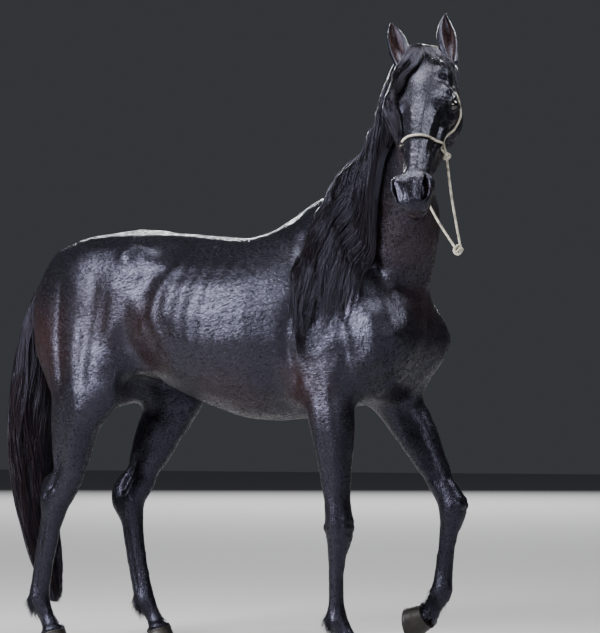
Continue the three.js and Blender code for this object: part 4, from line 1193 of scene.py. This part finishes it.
# The roots follow the crest, the highest skin across the neck, and start just beyond it.
def overCrest(grid):
    starts = grid[:, 0]
    run = np.gradient(starts, axis=0)
    across = np.stack([run[:, 1], -run[:, 0], np.zeros(len(run))], 1)
    across /= np.linalg.norm(across, axis=1, keepdims=True)

    def fromAbove(row, out):
        start = starts[row] + across[row] * out + (0, 0, 0.3)
        hit = skinTree.ray_cast(Vector(start), Vector((0, 0, -1)))[0]
        return np.array(hit) if hit else starts[row] - (0, 0, 0.3)

    outs = np.linspace(-0.1, 0.04, 29)
    heights = np.array([[fromAbove(row, out)[2] for out in outs] for row in range(len(grid))])
    best = outs[np.argmax(heights - 1.2 * (outs + 0.02) ** 2, axis=1)]
    for _ in range(12):
        best[1:-1] = (best[:-2] + 2 * best[1:-1] + best[2:]) / 4
    made = []
    for row, way in enumerate(grid):
        top, side = fromAbove(row, best[row]), across[row]
        way, _, _ = nearestOnSkin(way)
        beyond = way[((way - top) @ side > 0.05) | (way[:, 2] < top[2] - 0.06)]
        points = np.array([fromAbove(row, best[row] - 0.012), top, fromAbove(row, best[row] + 0.02), *beyond])
        made.append(placesAt(points, np.linspace(0, lengthsAlong(points)[-1], grid.shape[1])))
    return np.array(made)


maneGrid = overCrest(guideGrid(maneGuides, 60, 30, bodySpot))
mane = inPieces("maneHair", *lyingHair(hairPlans["mane"], maneGrid, 11), 2)
print("mane made")

# Forelock guides are head places: it falls from between the ears over the right of the face.
forelockGuides = [
    [(-70, -44, 16), (30, -66, 12), (110, -100, -16), (190, -112, -50), (300, -98, -90), (385, -84, -110)],
    [(-70, -22, 20), (40, -52, 24), (115, -92, 8), (200, -108, -24), (300, -96, -56), (392, -80, -84)],
    [(-70, 0, 20), (50, -30, 28), (130, -72, 20), (215, -94, -4), (315, -84, -30), (396, -70, -56)],
    [(-70, 20, 20), (62, -6, 28), (140, -46, 26), (215, -70, 12), (300, -74, -14), (370, -66, -36)],
]
pollGuides = [
    [(-100, -52, 0), (-40, -50, 20), (10, -46, 22), (60, -40, 20), (110, -34, 18)],
    [(-104, -14, 10), (-40, -10, 24), (14, -8, 24), (70, -2, 22), (124, 2, 20)],
    [(-100, 20, 8), (-40, 28, 20), (10, 36, 18), (64, 46, 12), (130, 60, 2)],
    [(-95, 38, 0), (-40, 46, 12), (10, 56, 2), (70, 68, -6), (160, 82, -16)],
    [(-90, 56, -12), (-40, 66, -2), (6, 80, -20), (80, 92, -34), (172, 100, -52)],
]
forelockGrid = guideGrid(forelockGuides, 30, 24, headSpot)
pollGrid = guideGrid(pollGuides, 30, 24, headSpot)
fallingHair = strandMesh("forelockHair", *lyingHair(hairPlans["forelock"], forelockGrid, 12))
pollHair = strandMesh("pollHair", *lyingHair(hairPlans["poll"], pollGrid, 13))
forelock = [joinObjects([fallingHair, pollHair], "forelockHair")]
print("forelock made")

# The tail: strands around the middle line of the dock and of the hanging hair
tailPlan = {
    # (x, z, half depth, half width, tilt of the section in degrees)
    "line": [(-752, 1370, 46, 46, 84), (-805, 1366, 44, 44, 68), (-848, 1334, 46, 48, 38),
             (-878, 1262, 53, 57, 15), (-902, 1150, 64, 74, 6), (-922, 1010, 76, 90, 3),
             (-931, 860, 82, 100, 0), (-929, 700, 84, 104, -2), (-910, 540, 80, 96, -5),
             (-880, 400, 70, 82, -8), (-848, 270, 52, 62, -8), (-824, 185, 30, 36, -8),
             (-814, 148, 10, 14, -8)],
    "locks": 132, "each": 12, "steps": 30, "wave": 15.0, "waves": 5.0, "thick": 1.9,
}


# Places in the tail: a share of its length, an angle about its middle line, and a share of the way out
def tailSpot(share, angle, out):
    line = smoothCurve(tailPlan["line"], 200)
    shares = np.linspace(0, 1, len(line))
    x, z, depth, width, tilt = (np.interp(share, shares, line[:, c]) for c in range(5))
    tilt = np.radians(tilt)
    reach, side = np.cos(angle) * depth * out, np.sin(angle) * width * out
    return bodySpot(np.stack([x + reach * np.cos(tilt), side, z + reach * np.sin(tilt)], -1))


def tailHair(seed):
    plan, locks = tailPlan, tailPlan["locks"]
    draw = np.random.default_rng(seed)
    count = locks * plan["each"]
    lock = np.repeat(np.arange(locks), plan["each"])
    share = np.linspace(0, 1, plan["steps"])[None, :]
    start = np.where(draw.uniform(0, 1, locks) < 0.45, draw.uniform(0.01, 0.1, locks),
                     draw.uniform(0.05, 0.34, locks))[lock] + draw.uniform(-0.01, 0.01, count)
    end = np.minimum(start + draw.uniform(0.5, 0.95, locks)[lock], 0.86 + 0.14 * draw.beta(1.4, 2, count))
    middle = draw.uniform(0, 2 * math.pi, locks)[lock]
    angle = middle[:, None] + draw.normal(0, 0.17, (count, 1)) * (1 - 0.55 * share)
    angle = angle + 0.35 * draw.normal(0, 1, locks)[lock][:, None] * share
    layer = np.sqrt(draw.uniform(0.42, 0.9, locks))[lock][:, None] + draw.normal(0, 0.025, (count, 1))
    along = start[:, None] + (end - start)[:, None] * share
    phase = draw.uniform(0, 2 * math.pi, locks)[lock][:, None] + draw.normal(0, 0.3, (count, 1))
    angle = angle + np.sin(phase + along * plan["waves"] * 2 * math.pi) * plan["wave"] / 95
    sway = 0.07 * np.sin(phase * 1.7 + along * 21) * share
    rise = np.minimum(1, 0.35 + share * 5)
    ways = tailSpot(along, angle, np.minimum(np.clip(layer, 0.3, 0.95) * rise * (1 + sway), 0.94))
    fine = draw.uniform(0, 2 * math.pi, locks)[lock][:, None] + draw.normal(0, 0.4, (count, 1))
    ways[..., 0] += 0.004 * np.sin(fine + along * 62) * share
    ways[..., 1] += 0.004 * np.sin(fine * 1.3 + along * 55) * share
    smoothWays(ways)
    taper = np.clip(np.minimum(0.5 + share * 5, (1.03 - share) * 3), 0.16, 1)
    radii = plan["thick"] * mm * taper * draw.uniform(0.65, 1.15, (count, 1))
    rust = 0.35 * draw.uniform(0, 1, (count, 1)) * (0.2 + share)
    return ways, radii, np.broadcast_to(rust, radii.shape)


tail = inPieces("tailHair", *tailHair(14), 2)
dockAngles = np.linspace(0, 2 * math.pi, 28, endpoint=False)
dockRings = [tailSpot(np.full(28, share), dockAngles, 0.9 if share < 0.12 else 0.72)
             for share in np.linspace(0.002, 0.97, 50)]
dock = loftRings("dock", dockRings)
addNumbers(dock, "rust", np.zeros(len(dock.data.vertices)))
print("tail made")

# The short coat: flat tufts along the lie of the hair, in millimetres, closest on the head and legs
coatPlan = {
    "tufts": 140000,
    "pieces": 4,
    "length": (13.0, 21.0),
    "width": 2.5,
    "ridge": 0.85,
    "sunk": 0.45,
    "rise": 0.06,  # how far a tip stands off the skin, as a share of the length
    "headLength": 0.42,
    "legLength": 0.6,
}


# The way the hair lies: back along the trunk, down the neck, chest, thighs and legs, and along the face.
def coatFlow(points, normals):
    body, head, headness, legness = regionOf(points)
    x, y, z = body.T
    neckness = smoothFall((1560 - z + (520 - x) * 0.8) / 260)
    chestness = smoothFall((640 - x) / 160) * (1 - neckness)
    thighness = smoothFall((x + 620) / 240)
    chestWay = np.stack([0 * x, np.sign(y) * 0.3, 0 * x - 1], 1)
    sideways = np.clip(np.abs(head[:, 1]) / 90, 0, 1)
    headWay = np.stack([1 - 0.25 * sideways, 0 * x, -0.75 * sideways], 1) @ headRows
    flow = np.tile((-0.92, 0.0, -0.38), (len(points), 1))
    for share, way in ((neckness, (-0.44, 0.36, -0.82)), (chestness, chestWay), (thighness, (-0.3, 0, -0.95)),
                       (legness, (0, 0, -1.0)), (headness, headWay)):
        flow = flow * (1 - share[:, None]) + np.array(way) * share[:, None]
    return unit(flow - normals * np.sum(flow * normals, axis=1, keepdims=True))


# Places scattered over the skin, with their normals and unwrap places; want says how thickly they lie.
def scatter(count, want, seed):
    draw = np.random.default_rng(seed)
    skin.data.calc_loop_triangles()
    triangles = skin.data.loop_triangles
    corners = readArray(triangles, "vertices", 3, np.int64)
    owner = readArray(triangles, "polygon_index", 1, np.int64)
    points, normals = readPoints(skin), readNormals(skin)
    a, b, c = (points[corners[:, k]] for k in range(3))
    size = np.linalg.norm(np.cross(b - a, c - a), axis=1) * want((a + b + c) / 3)
    pick = draw.choice(len(size), count, p=size / size.sum())
    s, t = draw.uniform(0, 1, (2, count))
    s, t = np.where(s + t > 1, 1 - s, s), np.where(s + t > 1, 1 - t, t)
    weights = np.stack([1 - s - t, s, t], 1)[..., None]
    place, normal = ((rows[corners[pick]] * weights).sum(1) for rows in (points, normals))
    return place, unit(normal), facePlaces[owner[pick]], draw


def nearEyeOrNostril(head):
    side = np.abs(head[:, 1])
    eye = np.linalg.norm(np.stack([head[:, 0] - 214, side - 106, head[:, 2] + 42], 1), axis=1)
    nose = np.linalg.norm(np.stack([head[:, 0] - 555, side - 38, head[:, 2] + 66], 1), axis=1)
    return (eye < 23.5) | (nose < 40)


def coatWant(points):
    _, head, headness, legness = regionOf(points)
    return (1 + 2.2 * headness + 1.1 * legness) * ~nearEyeOrNostril(head)


# A tuft is a thin closed blade: a root triangle and a tip.
def tuftMesh(name, roots, normals, flow, lengths, widths, rises, places, rust):
    across = np.cross(normals, flow) * widths[:, None] / 2
    ahead = flow * lengths[:, None]
    sunk = roots - normals * coatPlan["sunk"] * mm
    top = sunk + normals * (coatPlan["ridge"] * mm * widths / widths.max())[:, None] + ahead * 0.15
    tip = roots + ahead + normals * rises[:, None]
    verts = np.stack([sunk + across, sunk - across, top, tip], 1).reshape(-1, 3)
    faces = [0, 1, 2, 1, 0, 3, 2, 1, 3, 0, 2, 3]
    corners = (np.arange(len(roots))[:, None] * 4 + np.array(faces)).ravel()
    obj = fromArrays(name, verts, corners, [3] * 4 * len(roots))
    addBakePlaces(obj, places, 4)
    addNumbers(obj, "rust", np.repeat(rust, 4))
    return obj


def shortCoat():
    plan = coatPlan
    place, normal, where, draw = scatter(plan["tufts"], coatWant, 21)
    _, _, headness, legness = regionOf(place)
    flow = coatFlow(place, normal)
    flow += np.cross(normal, flow) * draw.normal(0, 0.16, (len(place), 1))
    length = draw.uniform(*plan["length"], len(place)) * (1 - (1 - plan["legLength"]) * legness)
    length = length * (1 - (1 - plan["headLength"]) * headness) * mm
    width = plan["width"] * mm * draw.uniform(0.7, 1.2, len(place)) * (1 - 0.4 * headness - 0.25 * legness)
    rise = length * plan["rise"] * draw.uniform(0.3, 1.6, len(place))
    rust = rustOf(place) * draw.uniform(0.5, 1.3, len(place))
    rows, pieces = (place, normal, flow, length, width, rise, where, rust), plan["pieces"]
    return [tuftMesh(f"coat{k + 1}", *(row[k::pieces] for row in rows)) for k in range(pieces)]


coat = shortCoat()
print("short coat made:", coatPlan["tufts"], "tufts")

# Longer hairs where a horse has them: (middle, radius, count, length, width, pull off the skin)
fringePlan = {
    "rightFetlock": ((420, -150, 160), 46, 420, 34, 1.3, 0.5),
    "leftFetlock": ((652, 141, 222), 46, 420, 34, 1.3, 0.5),
    "rightHindFetlock": ((-806, -135, 165), 46, 420, 34, 1.3, 0.5),
    "leftHindFetlock": ((-536, 133, 156), 46, 420, 34, 1.3, 0.5),
    "rightElbow": ((345, -190, 890), 60, 300, 30, 1.2, 0.35),
    "leftElbow": ((345, 190, 890), 60, 300, 30, 1.2, 0.35),
    "rightFlank": ((-250, -240, 1010), 90, 300, 28, 1.2, 0.25),
    "leftFlank": ((-250, 240, 1010), 90, 300, 28, 1.2, 0.25),
}
fringeHeadPlan = {
    "chin": ((566, 0, -160), 40, 170, 26, 0.8, 0.6),
    "jaw": ((250, 30, -215), 110, 640, 26, 1.0, 0.35),
    "jawRight": ((250, -30, -215), 110, 640, 26, 1.0, 0.35),
    "throat": ((110, 0, -250), 110, 500, 30, 1.1, 0.3),
    "lips": ((588, 0, -118), 44, 90, 22, 0.7, 0.8),
}
coronetPlan = {"count": 460, "length": 15.0, "width": 1.2}


# Strands about a middle: they leave the skin along the coat's flow, pulled outwards, and droop.
def fringe(name, middle, radius, count, length, width, pull, seed):
    def want(points):
        gap = np.linalg.norm(points - middle, axis=1)
        return smoothFall(gap / (radius * mm)) + 1e-9 * (gap < 0.3)

    place, normal, _, draw = scatter(count, want, seed)
    flow = coatFlow(place, normal) + normal * pull * draw.uniform(0.5, 1.2, (count, 1))
    flow = unit(flow + draw.normal(0, 0.12, (count, 3)))
    share = np.linspace(0, 1, 5)[None, :, None]
    reach = length * mm * draw.uniform(0.5, 1.1, (count, 1, 1))
    ways = place[:, None] - normal[:, None] * mm + flow[:, None] * share * reach
    ways = ways + np.array((0, 0, -0.35)) * share ** 2 * reach
    radii = width * mm / 2 * (1.03 - share[..., 0]) * draw.uniform(0.7, 1.1, (count, 1))
    return strandMesh(name, ways, radii, np.repeat(rustOf(place)[:, None], 5, axis=1))


fringes = []
for plan, spotOf, seed in ((fringePlan, bodySpot, 30), (fringeHeadPlan, headSpot, 50)):
    for k, (name, (middle, *rest)) in enumerate(plan.items()):
        fringes.append(fringe(name, spotOf(middle), *rest, seed + k))


# Hair hanging over the hoof's upper edge
def coronetHair(leg, seed):
    draw = np.random.default_rng(seed)
    plan, count = coronetPlan, coronetPlan["count"]
    angle = draw.uniform(0, 2 * math.pi, count)
    x, y = 62 * np.cos(angle), 60 * np.sin(angle)
    z = hoofPlan["hairlineSlope"] * x + draw.uniform(2, 9, count)
    out = hoofTurn(leg, np.stack([x, y, z], 1))
    spots, normals, _ = nearestOnSkin(bodySpot(joints[leg]["coronet"] + out))
    flow = hoofTurn(leg, (0, 0, -1)) + normals * 0.2 + draw.normal(0, 0.1, (count, 3))
    share = np.linspace(0, 1, 4)[None, :, None]
    reach = plan["length"] * mm * draw.uniform(0.6, 1.2, (count, 1, 1))
    ways = spots[:, None] + normals[:, None] * 0.0004 + flow[:, None] * share * reach
    radii = plan["width"] * mm / 2 * (1.05 - share[..., 0]) * np.ones((count, 1))
    return strandMesh(leg + "Coronet", ways, radii, np.zeros((count, 4)))


for seed, leg in enumerate(legNames):
    fringes.append(coronetHair(leg, 70 + seed))


# Hair that fills the ears: its roots are given on the ear's hollow side.
def earHair(name, plan, seed):
    draw = np.random.default_rng(seed)
    base, length, rise, back, across = earFrame(plan)
    count = earPlan["hairs"]
    t = draw.uniform(0.02, 0.8, count)
    stations = smoothCurve(earPlan["stations"], 60)
    wide, deep = (np.interp(t, stations[:, 0], stations[:, c]) for c in (1, 2))
    turn = np.radians(draw.uniform(95, 132, count)) * np.where(draw.uniform(0, 1, count) < 0.5, 1, -1)
    root = base + rise * (t * length)[:, None] + back * (earPlan["bend"] * np.sin(math.pi * t))[:, None]
    root = root + 0.84 * (across * (np.sin(turn) * wide)[:, None] + back * (np.cos(turn) * deep)[:, None])
    inward = -across * np.sign(turn)[:, None] * 0.8 - back * 0.25 + rise * draw.uniform(0.3, 1.1, (count, 1))
    inward = unit(inward + draw.normal(0, 0.2, (count, 3)))
    share = np.linspace(0, 1, 6)[None, :, None]
    reach = draw.uniform(12, 25, (count, 1, 1)) * np.minimum(1, 1.25 - t)[:, None, None]
    ways = root[:, None] + (inward[:, None] * share + rise * 0.5 * share ** 2) * reach
    radii = 0.00055 * (1.05 - share[..., 0]) * draw.uniform(0.7, 1.1, (count, 1))
    return strandMesh(name, headSpot(ways), radii, np.full((count, 6), 0.75))


for seed, node in enumerate(("ear_right", "ear_left")):
    fringes.append(earHair(node + "Hair", earPlan[node], 90 + seed))
longCoat = joinObjects(fringes, "longCoat")
print("fringes made")

# Lashes along both lids, in millimetres
lashPlan = {"upper": 80, "lower": 26, "length": 17.0, "width": 0.9}


def lashes(name, side, seed):
    draw = np.random.default_rng(seed)
    middle, look, forward, upward = eyeFrame(side)
    share = np.linspace(0, 1, 5)[:, None]
    ways = []
    for k in range(lashPlan["upper"] + lashPlan["lower"]):
        upper = k < lashPlan["upper"]
        angle = draw.uniform(0.5, 2.6) if upper else -draw.uniform(0.6, 2.5)
        tilt = math.radians(float(openingAt(np.array(angle))) + draw.uniform(0.5, 2.5))
        across = math.cos(angle) * forward + math.sin(angle) * upward
        out = math.cos(tilt) * look + math.sin(tilt) * across
        reach = lashPlan["length"] * draw.uniform(0.6, 1.0) * (1 if upper else 0.55)
        bend, droop = (0.25, -0.35) if upper else (-0.5, 0.0)
        start, way = middle + out * 22.3, out * 0.75 + look * 0.5 + upward * bend
        ways.append(start + (way * share + upward * droop * share ** 2) * reach)
    ways = np.array(ways)
    radii = lashPlan["width"] * mm / 2 * (1.05 - share[:, 0]) * np.ones((len(ways), 1))
    return strandMesh(name, headSpot(ways), radii, np.zeros(ways.shape[:2]))


lashHair = joinObjects([lashes("lashes", 1, 61), lashes("lashes", -1, 62)], "lashes")
print("lashes made")


# A colour given in sRGB hex, as linear red, green, blue and opacity
def fromHex(text):
    values = [int(text[i:i + 2], 16) / 255 for i in (1, 3, 5)]
    return tuple(v / 12.92 if v <= 0.04045 else ((v + 0.055) / 1.055) ** 2.4 for v in values) + (1.0,)


def startMaterial(name):
    material = bpy.data.materials.new(name)
    material.use_nodes = True
    return material, material.node_tree, material.node_tree.nodes["Principled BSDF"]


# Each input is given by name or number: an outlet is linked to it, and anything else becomes its value.
def setInputs(tree, node, inputs):
    for key, value in inputs.items():
        if isinstance(value, bpy.types.NodeSocket):
            tree.links.new(value, node.inputs[key])
        else:
            node.inputs[key].default_value = value


# Adds one node with its inputs; the other settings are its own properties.
def addNode(tree, kind, inputs=None, **settings):
    node = tree.nodes.new(kind)
    for key, value in settings.items():
        setattr(node, key, value)
    setInputs(tree, node, inputs or {})
    return node


# Black horse hide under a short glossy summer coat: near-black, bluish where light grazes it, with
# reddish-brown zones. The grain shows as streaks along the hair's lie, drawn coarser than hair so they show.
def hideMaterial():
    material, tree, shader = startMaterial("blackHorsehide")
    place = addNode(tree, "ShaderNodeTexCoord").outputs["Object"]
    rust = addNode(tree, "ShaderNodeAttribute", attribute_name="rust").outputs["Fac"]
    lie = addNode(tree, "ShaderNodeAttribute", attribute_name="upright").outputs["Fac"]
    patches = addNode(tree, "ShaderNodeTexNoise", {"Vector": place, "Scale": 1 / (111.1 * mm), "Detail": 4.0})
    share = patches.outputs["Fac"]
    for operation, inputs, clamp in (("MULTIPLY_ADD", {1: 0.5, 2: -0.25}, False), ("ADD", {1: rust}, True),
                                     ("MULTIPLY", {1: rust}, False), ("MULTIPLY", {1: 2.0}, True)):
        share = addNode(tree, "ShaderNodeMath", {0: share, **inputs}, operation=operation,
                        use_clamp=clamp).outputs[0]
    colour = addNode(tree, "ShaderNodeMix", {0: share, 6: fromHex("#0b0a0d"), 7: fromHex("#44271d")},
                     data_type="RGBA")
    longStreak, thinStreak = 1 / (14.286 * mm), 1 / (5.263 * mm)
    grains = []
    for stretch in ((longStreak, thinStreak, thinStreak), (thinStreak, thinStreak, longStreak)):
        along = addNode(tree, "ShaderNodeMapping", {"Vector": place, "Scale": stretch}).outputs[0]
        inputs = {"Vector": along, "Scale": 1.0, "Detail": 3.0, "Roughness": 0.6}
        grains.append(addNode(tree, "ShaderNodeTexNoise", inputs).outputs["Fac"])
    level, upright = grains
    grain = addNode(tree, "ShaderNodeMix", {0: lie, 2: level, 3: upright}, data_type="FLOAT").outputs[0]
    rough = addNode(tree, "ShaderNodeMapRange", {0: grain, 1: 0.3, 2: 0.7, 3: 0.22, 4: 0.36})
    raised = addNode(tree, "ShaderNodeBump", {"Height": grain, "Strength": 0.6, "Distance": 3 * mm})
    setInputs(tree, shader, {
        "Base Color": colour.outputs[2],
        "Roughness": rough.outputs[0],
        "Normal": raised.outputs["Normal"],
        "Specular IOR Level": 0.5,
        "Specular Tint": fromHex("#cccdf0"),
        "Sheen Weight": 0.02,
        "Sheen Roughness": 0.3,
        "Sheen Tint": fromHex("#b9bcd6"),
    })
    return material


# Black horsehair: single glossy hairs, warmer brown where sun has bleached them.
def hairMaterial(name, dark, bleached, roughness, gloss):
    material, tree, shader = startMaterial(name)
    place = addNode(tree, "ShaderNodeTexCoord").outputs["Object"]
    rust = addNode(tree, "ShaderNodeAttribute", attribute_name="rust").outputs["Fac"]
    streakScale = 1 / (16.667 * mm)
    streaks = addNode(tree, "ShaderNodeTexNoise", {"Vector": place, "Scale": streakScale, "Detail": 2.0})
    shade = streaks.outputs["Fac"]
    for factor in (rust, 1.9):
        shade = addNode(tree, "ShaderNodeMath", {0: shade, 1: factor}, operation="MULTIPLY",
                        use_clamp=True).outputs[0]
    colour = addNode(tree, "ShaderNodeMix", {0: shade, 6: fromHex(dark), 7: fromHex(bleached)},
                     data_type="RGBA")
    setInputs(tree, shader, {
        "Base Color": colour.outputs[2],
        "Roughness": roughness,
        "Specular IOR Level": gloss,
        "Specular Tint": fromHex("#cccdf0"),
    })
    return material


# Dark hoof horn: fine upright fibres in near-black and grey-brown, with little shine.
def hornMaterial():
    material, tree, shader = startMaterial("darkHoofHorn")
    place = addNode(tree, "ShaderNodeTexCoord").outputs["Object"]
    across, along = 1 / (6.25 * mm), 1 / (71.43 * mm)
    fibres = addNode(tree, "ShaderNodeMapping", {"Vector": place, "Scale": (across, across, along)})
    grain = addNode(tree, "ShaderNodeTexNoise", {"Vector": fibres.outputs[0], "Scale": 1.0, "Detail": 4.0})
    colour = addNode(tree, "ShaderNodeValToRGB", {"Fac": grain.outputs["Fac"]})
    for stop, position, tint in zip(colour.color_ramp.elements, (0.3, 0.75), ("#0c0a09", "#2b241f")):
        stop.position = position
        stop.color = fromHex(tint)
    raised = addNode(tree, "ShaderNodeBump",
                     {"Height": grain.outputs["Fac"], "Strength": 0.4, "Distance": 2 * mm})
    setInputs(tree, shader, {
        "Base Color": colour.outputs["Color"],
        "Normal": raised.outputs["Normal"],
        "Roughness": 0.5,
    })
    return material


# Undyed cotton rope: pale and dull, soiled in patches, with its threads as a fine unevenness.
def ropeMaterial():
    material, tree, shader = startMaterial("undyedCottonRope")
    place = addNode(tree, "ShaderNodeTexCoord").outputs["Object"]
    soil = addNode(tree, "ShaderNodeTexNoise", {"Vector": place, "Scale": 1 / (22.22 * mm), "Detail": 5.0})
    threads = addNode(tree, "ShaderNodeTexNoise", {"Vector": place, "Scale": 1 / (1.111 * mm), "Detail": 1.0})
    colour = addNode(tree, "ShaderNodeValToRGB", {"Fac": soil.outputs["Fac"]})
    for stop, position, tint in zip(colour.color_ramp.elements, (0.32, 0.55), ("#766f62", "#c2bcae")):
        stop.position = position
        stop.color = fromHex(tint)
    raised = addNode(tree, "ShaderNodeBump",
                     {"Height": threads.outputs["Fac"], "Strength": 0.5, "Distance": 0.8 * mm})
    setInputs(tree, shader, {
        "Base Color": colour.outputs["Color"],
        "Normal": raised.outputs["Normal"],
        "Roughness": 0.85,
    })
    return material


# Wet horse eye: black pupil lying level, dark brown iris, brownish rim of the white, under a clear film.
def eyeMaterial():
    material, tree, shader = startMaterial("wetEyeball")
    zone = addNode(tree, "ShaderNodeAttribute", attribute_name="zone").outputs["Fac"]
    colour = addNode(tree, "ShaderNodeValToRGB", {"Fac": zone})
    stops = colour.color_ramp.elements
    stops.new(0.5)
    for stop, position, tint in zip(stops, (0.1, 0.5, 0.95), ("#030203", "#110806", "#1a0f0c")):
        stop.position = position
        stop.color = fromHex(tint)
    setInputs(tree, shader, {
        "Base Color": colour.outputs["Color"],
        "Roughness": 0.12,
        "Coat Weight": 1.0,
        "Coat Roughness": 0.02,
    })
    return material


# Bare skin of the lids, nearly hairless and a little shiny
def lidMaterial():
    material, tree, shader = startMaterial("bareBlackSkin")
    place = addNode(tree, "ShaderNodeTexCoord").outputs["Object"]
    noise = addNode(tree, "ShaderNodeTexNoise", {"Vector": place, "Scale": 1 / (2.381 * mm), "Detail": 2.0})
    pores = noise.outputs["Fac"]
    raised = addNode(tree, "ShaderNodeBump", {"Height": pores, "Strength": 0.3, "Distance": mm})
    colour = addNode(tree, "ShaderNodeMix", {0: pores, 6: fromHex("#070608"), 7: fromHex("#0e0c11")},
                     data_type="RGBA")
    setInputs(tree, shader, {
        "Base Color": colour.outputs[2],
        "Normal": raised.outputs["Normal"],
        "Roughness": 0.42,
        "Specular IOR Level": 0.35,
    })
    return material


# Pale matt floor paint, one even tone
def floorMaterial():
    material, tree, shader = startMaterial("paleFloorPaint")
    setInputs(tree, shader, {"Base Color": fromHex("#bfbdbc"), "Roughness": 0.9})
    return material


hide = hideMaterial()
horn, rope = hornMaterial(), ropeMaterial()
wetEye, bareSkin = eyeMaterial(), lidMaterial()
longHair = hairMaterial("blackHorsehair", "#060507", "#3a2118", 0.27, 0.55)
shortHair = hairMaterial("shortBlackCoat", "#0b0a0d", "#44271d", 0.29, 0.5)


def finishPiece(obj, material, *nodes):
    obj.data.materials.clear()
    obj.data.materials.append(material)
    obj.data.polygons.foreach_set("use_smooth", np.ones(len(obj.data.polygons), bool))
    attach(obj, "root")
    if nodes:
        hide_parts(*nodes)


for obj in [skin] + list(ears.values()):
    points = readPoints(obj)
    body, _, headness, legness = regionOf(points)
    aroundEar = np.arange(len(points)) % (earPlan["outerPoints"] + earPlan["innerPoints"])
    earHollow = 0.0 if obj == skin else 0.45 * (aroundEar >= earPlan["outerPoints"])
    upright = legness + headness + smoothFall((1520 - body[:, 2]) / 150)
    addNumbers(obj, "rust", np.maximum(rustOf(points), earHollow))
    addNumbers(obj, "upright", np.clip(upright, 0, 1))
for lid in lids:
    finishPiece(lid, bareSkin)
finishPiece(skin, hide, *fleshNodes)
for pieces, material in ((ears, hide), (eyes, wetEye), (hooves, horn), (halter, rope)):
    for node, obj in pieces.items():
        finishPiece(obj, material, node)
for pieces, node in ((mane, "mane"), (forelock, "forelock"), (tail + [dock], "tail")):
    for obj in pieces:
        finishPiece(obj, longHair, node)
for obj in coat + [longCoat, lashHair]:
    finishPiece(obj, shortHair)
print("materials set")

# (place, place aimed at, width and height in metres, watts, colour)
lightPlan = {
    "keyLight": ((-1950, -3900, 2750), (-50, 0, 1150), (1.4, 3.0), 560, (0.97, 0.97, 1.0)),
    "backLight": ((-9700, 18500, 9300), (0, 0, 1300), (15.0, 2.0), 4200, (0.95, 0.97, 1.0)),
    "topLight": ((350, -750, 4300), (850, -400, 1700), (1.8, 1.2), 110, (0.97, 0.98, 1.0)),
    "frontLight": ((3000, -4300, 2500), (900, -450, 1600), (1.5, 1.5), 75, (1.0, 1.0, 1.0)),
    "faceLight": ((2640, 280, 4040), (930, -450, 1650), (1.6, 1.2), 90, (0.97, 0.98, 1.0)),
}
cameraPlan = {
    "place": (3391.0, -5372.0, 720.0),
    "across": 30.55,  # degrees the view turns from straight across the horse towards its tail
    "up": 4.03,
    "lens": 104.92,
}


def pointAt(obj, place, way):
    obj.location = Vector(bodySpot(place))
    obj.rotation_euler = Vector(way).to_track_quat("-Z", "Y").to_euler()


for name, (place, aim, size, power, colour) in lightPlan.items():
    light = bpy.data.lights.new(name, "AREA")
    light.shape = "RECTANGLE"
    light.size, light.size_y = size
    light.energy = power
    light.color = colour
    pointAt(linkNew(name, light), place, bodySpot(aim) - bodySpot(place))

world = bpy.data.worlds.new("studioWorld")
bpy.context.scene.world = world
world.use_nodes = True
sky = world.node_tree.nodes["Background"]
setInputs(world.node_tree, sky, {"Color": (0.62, 0.66, 0.75, 1), "Strength": 0.065})

floor = makeObject("floor", [(-40, -40, 0), (40, -40, 0), (40, 40, 0), (-40, 40, 0)], [(0, 1, 2, 3)])
floor.data.materials.append(floorMaterial())

cameraData = bpy.data.cameras.new("camera")
cameraData.lens = cameraPlan["lens"]
cameraData.sensor_width = 36
camera = linkNew("camera", cameraData)
across, up = math.radians(cameraPlan["across"]), math.radians(cameraPlan["up"])
pointAt(camera, cameraPlan["place"],
        (-math.sin(across) * math.cos(up), math.cos(across) * math.cos(up), math.sin(up)))
bpy.context.scene.camera = camera
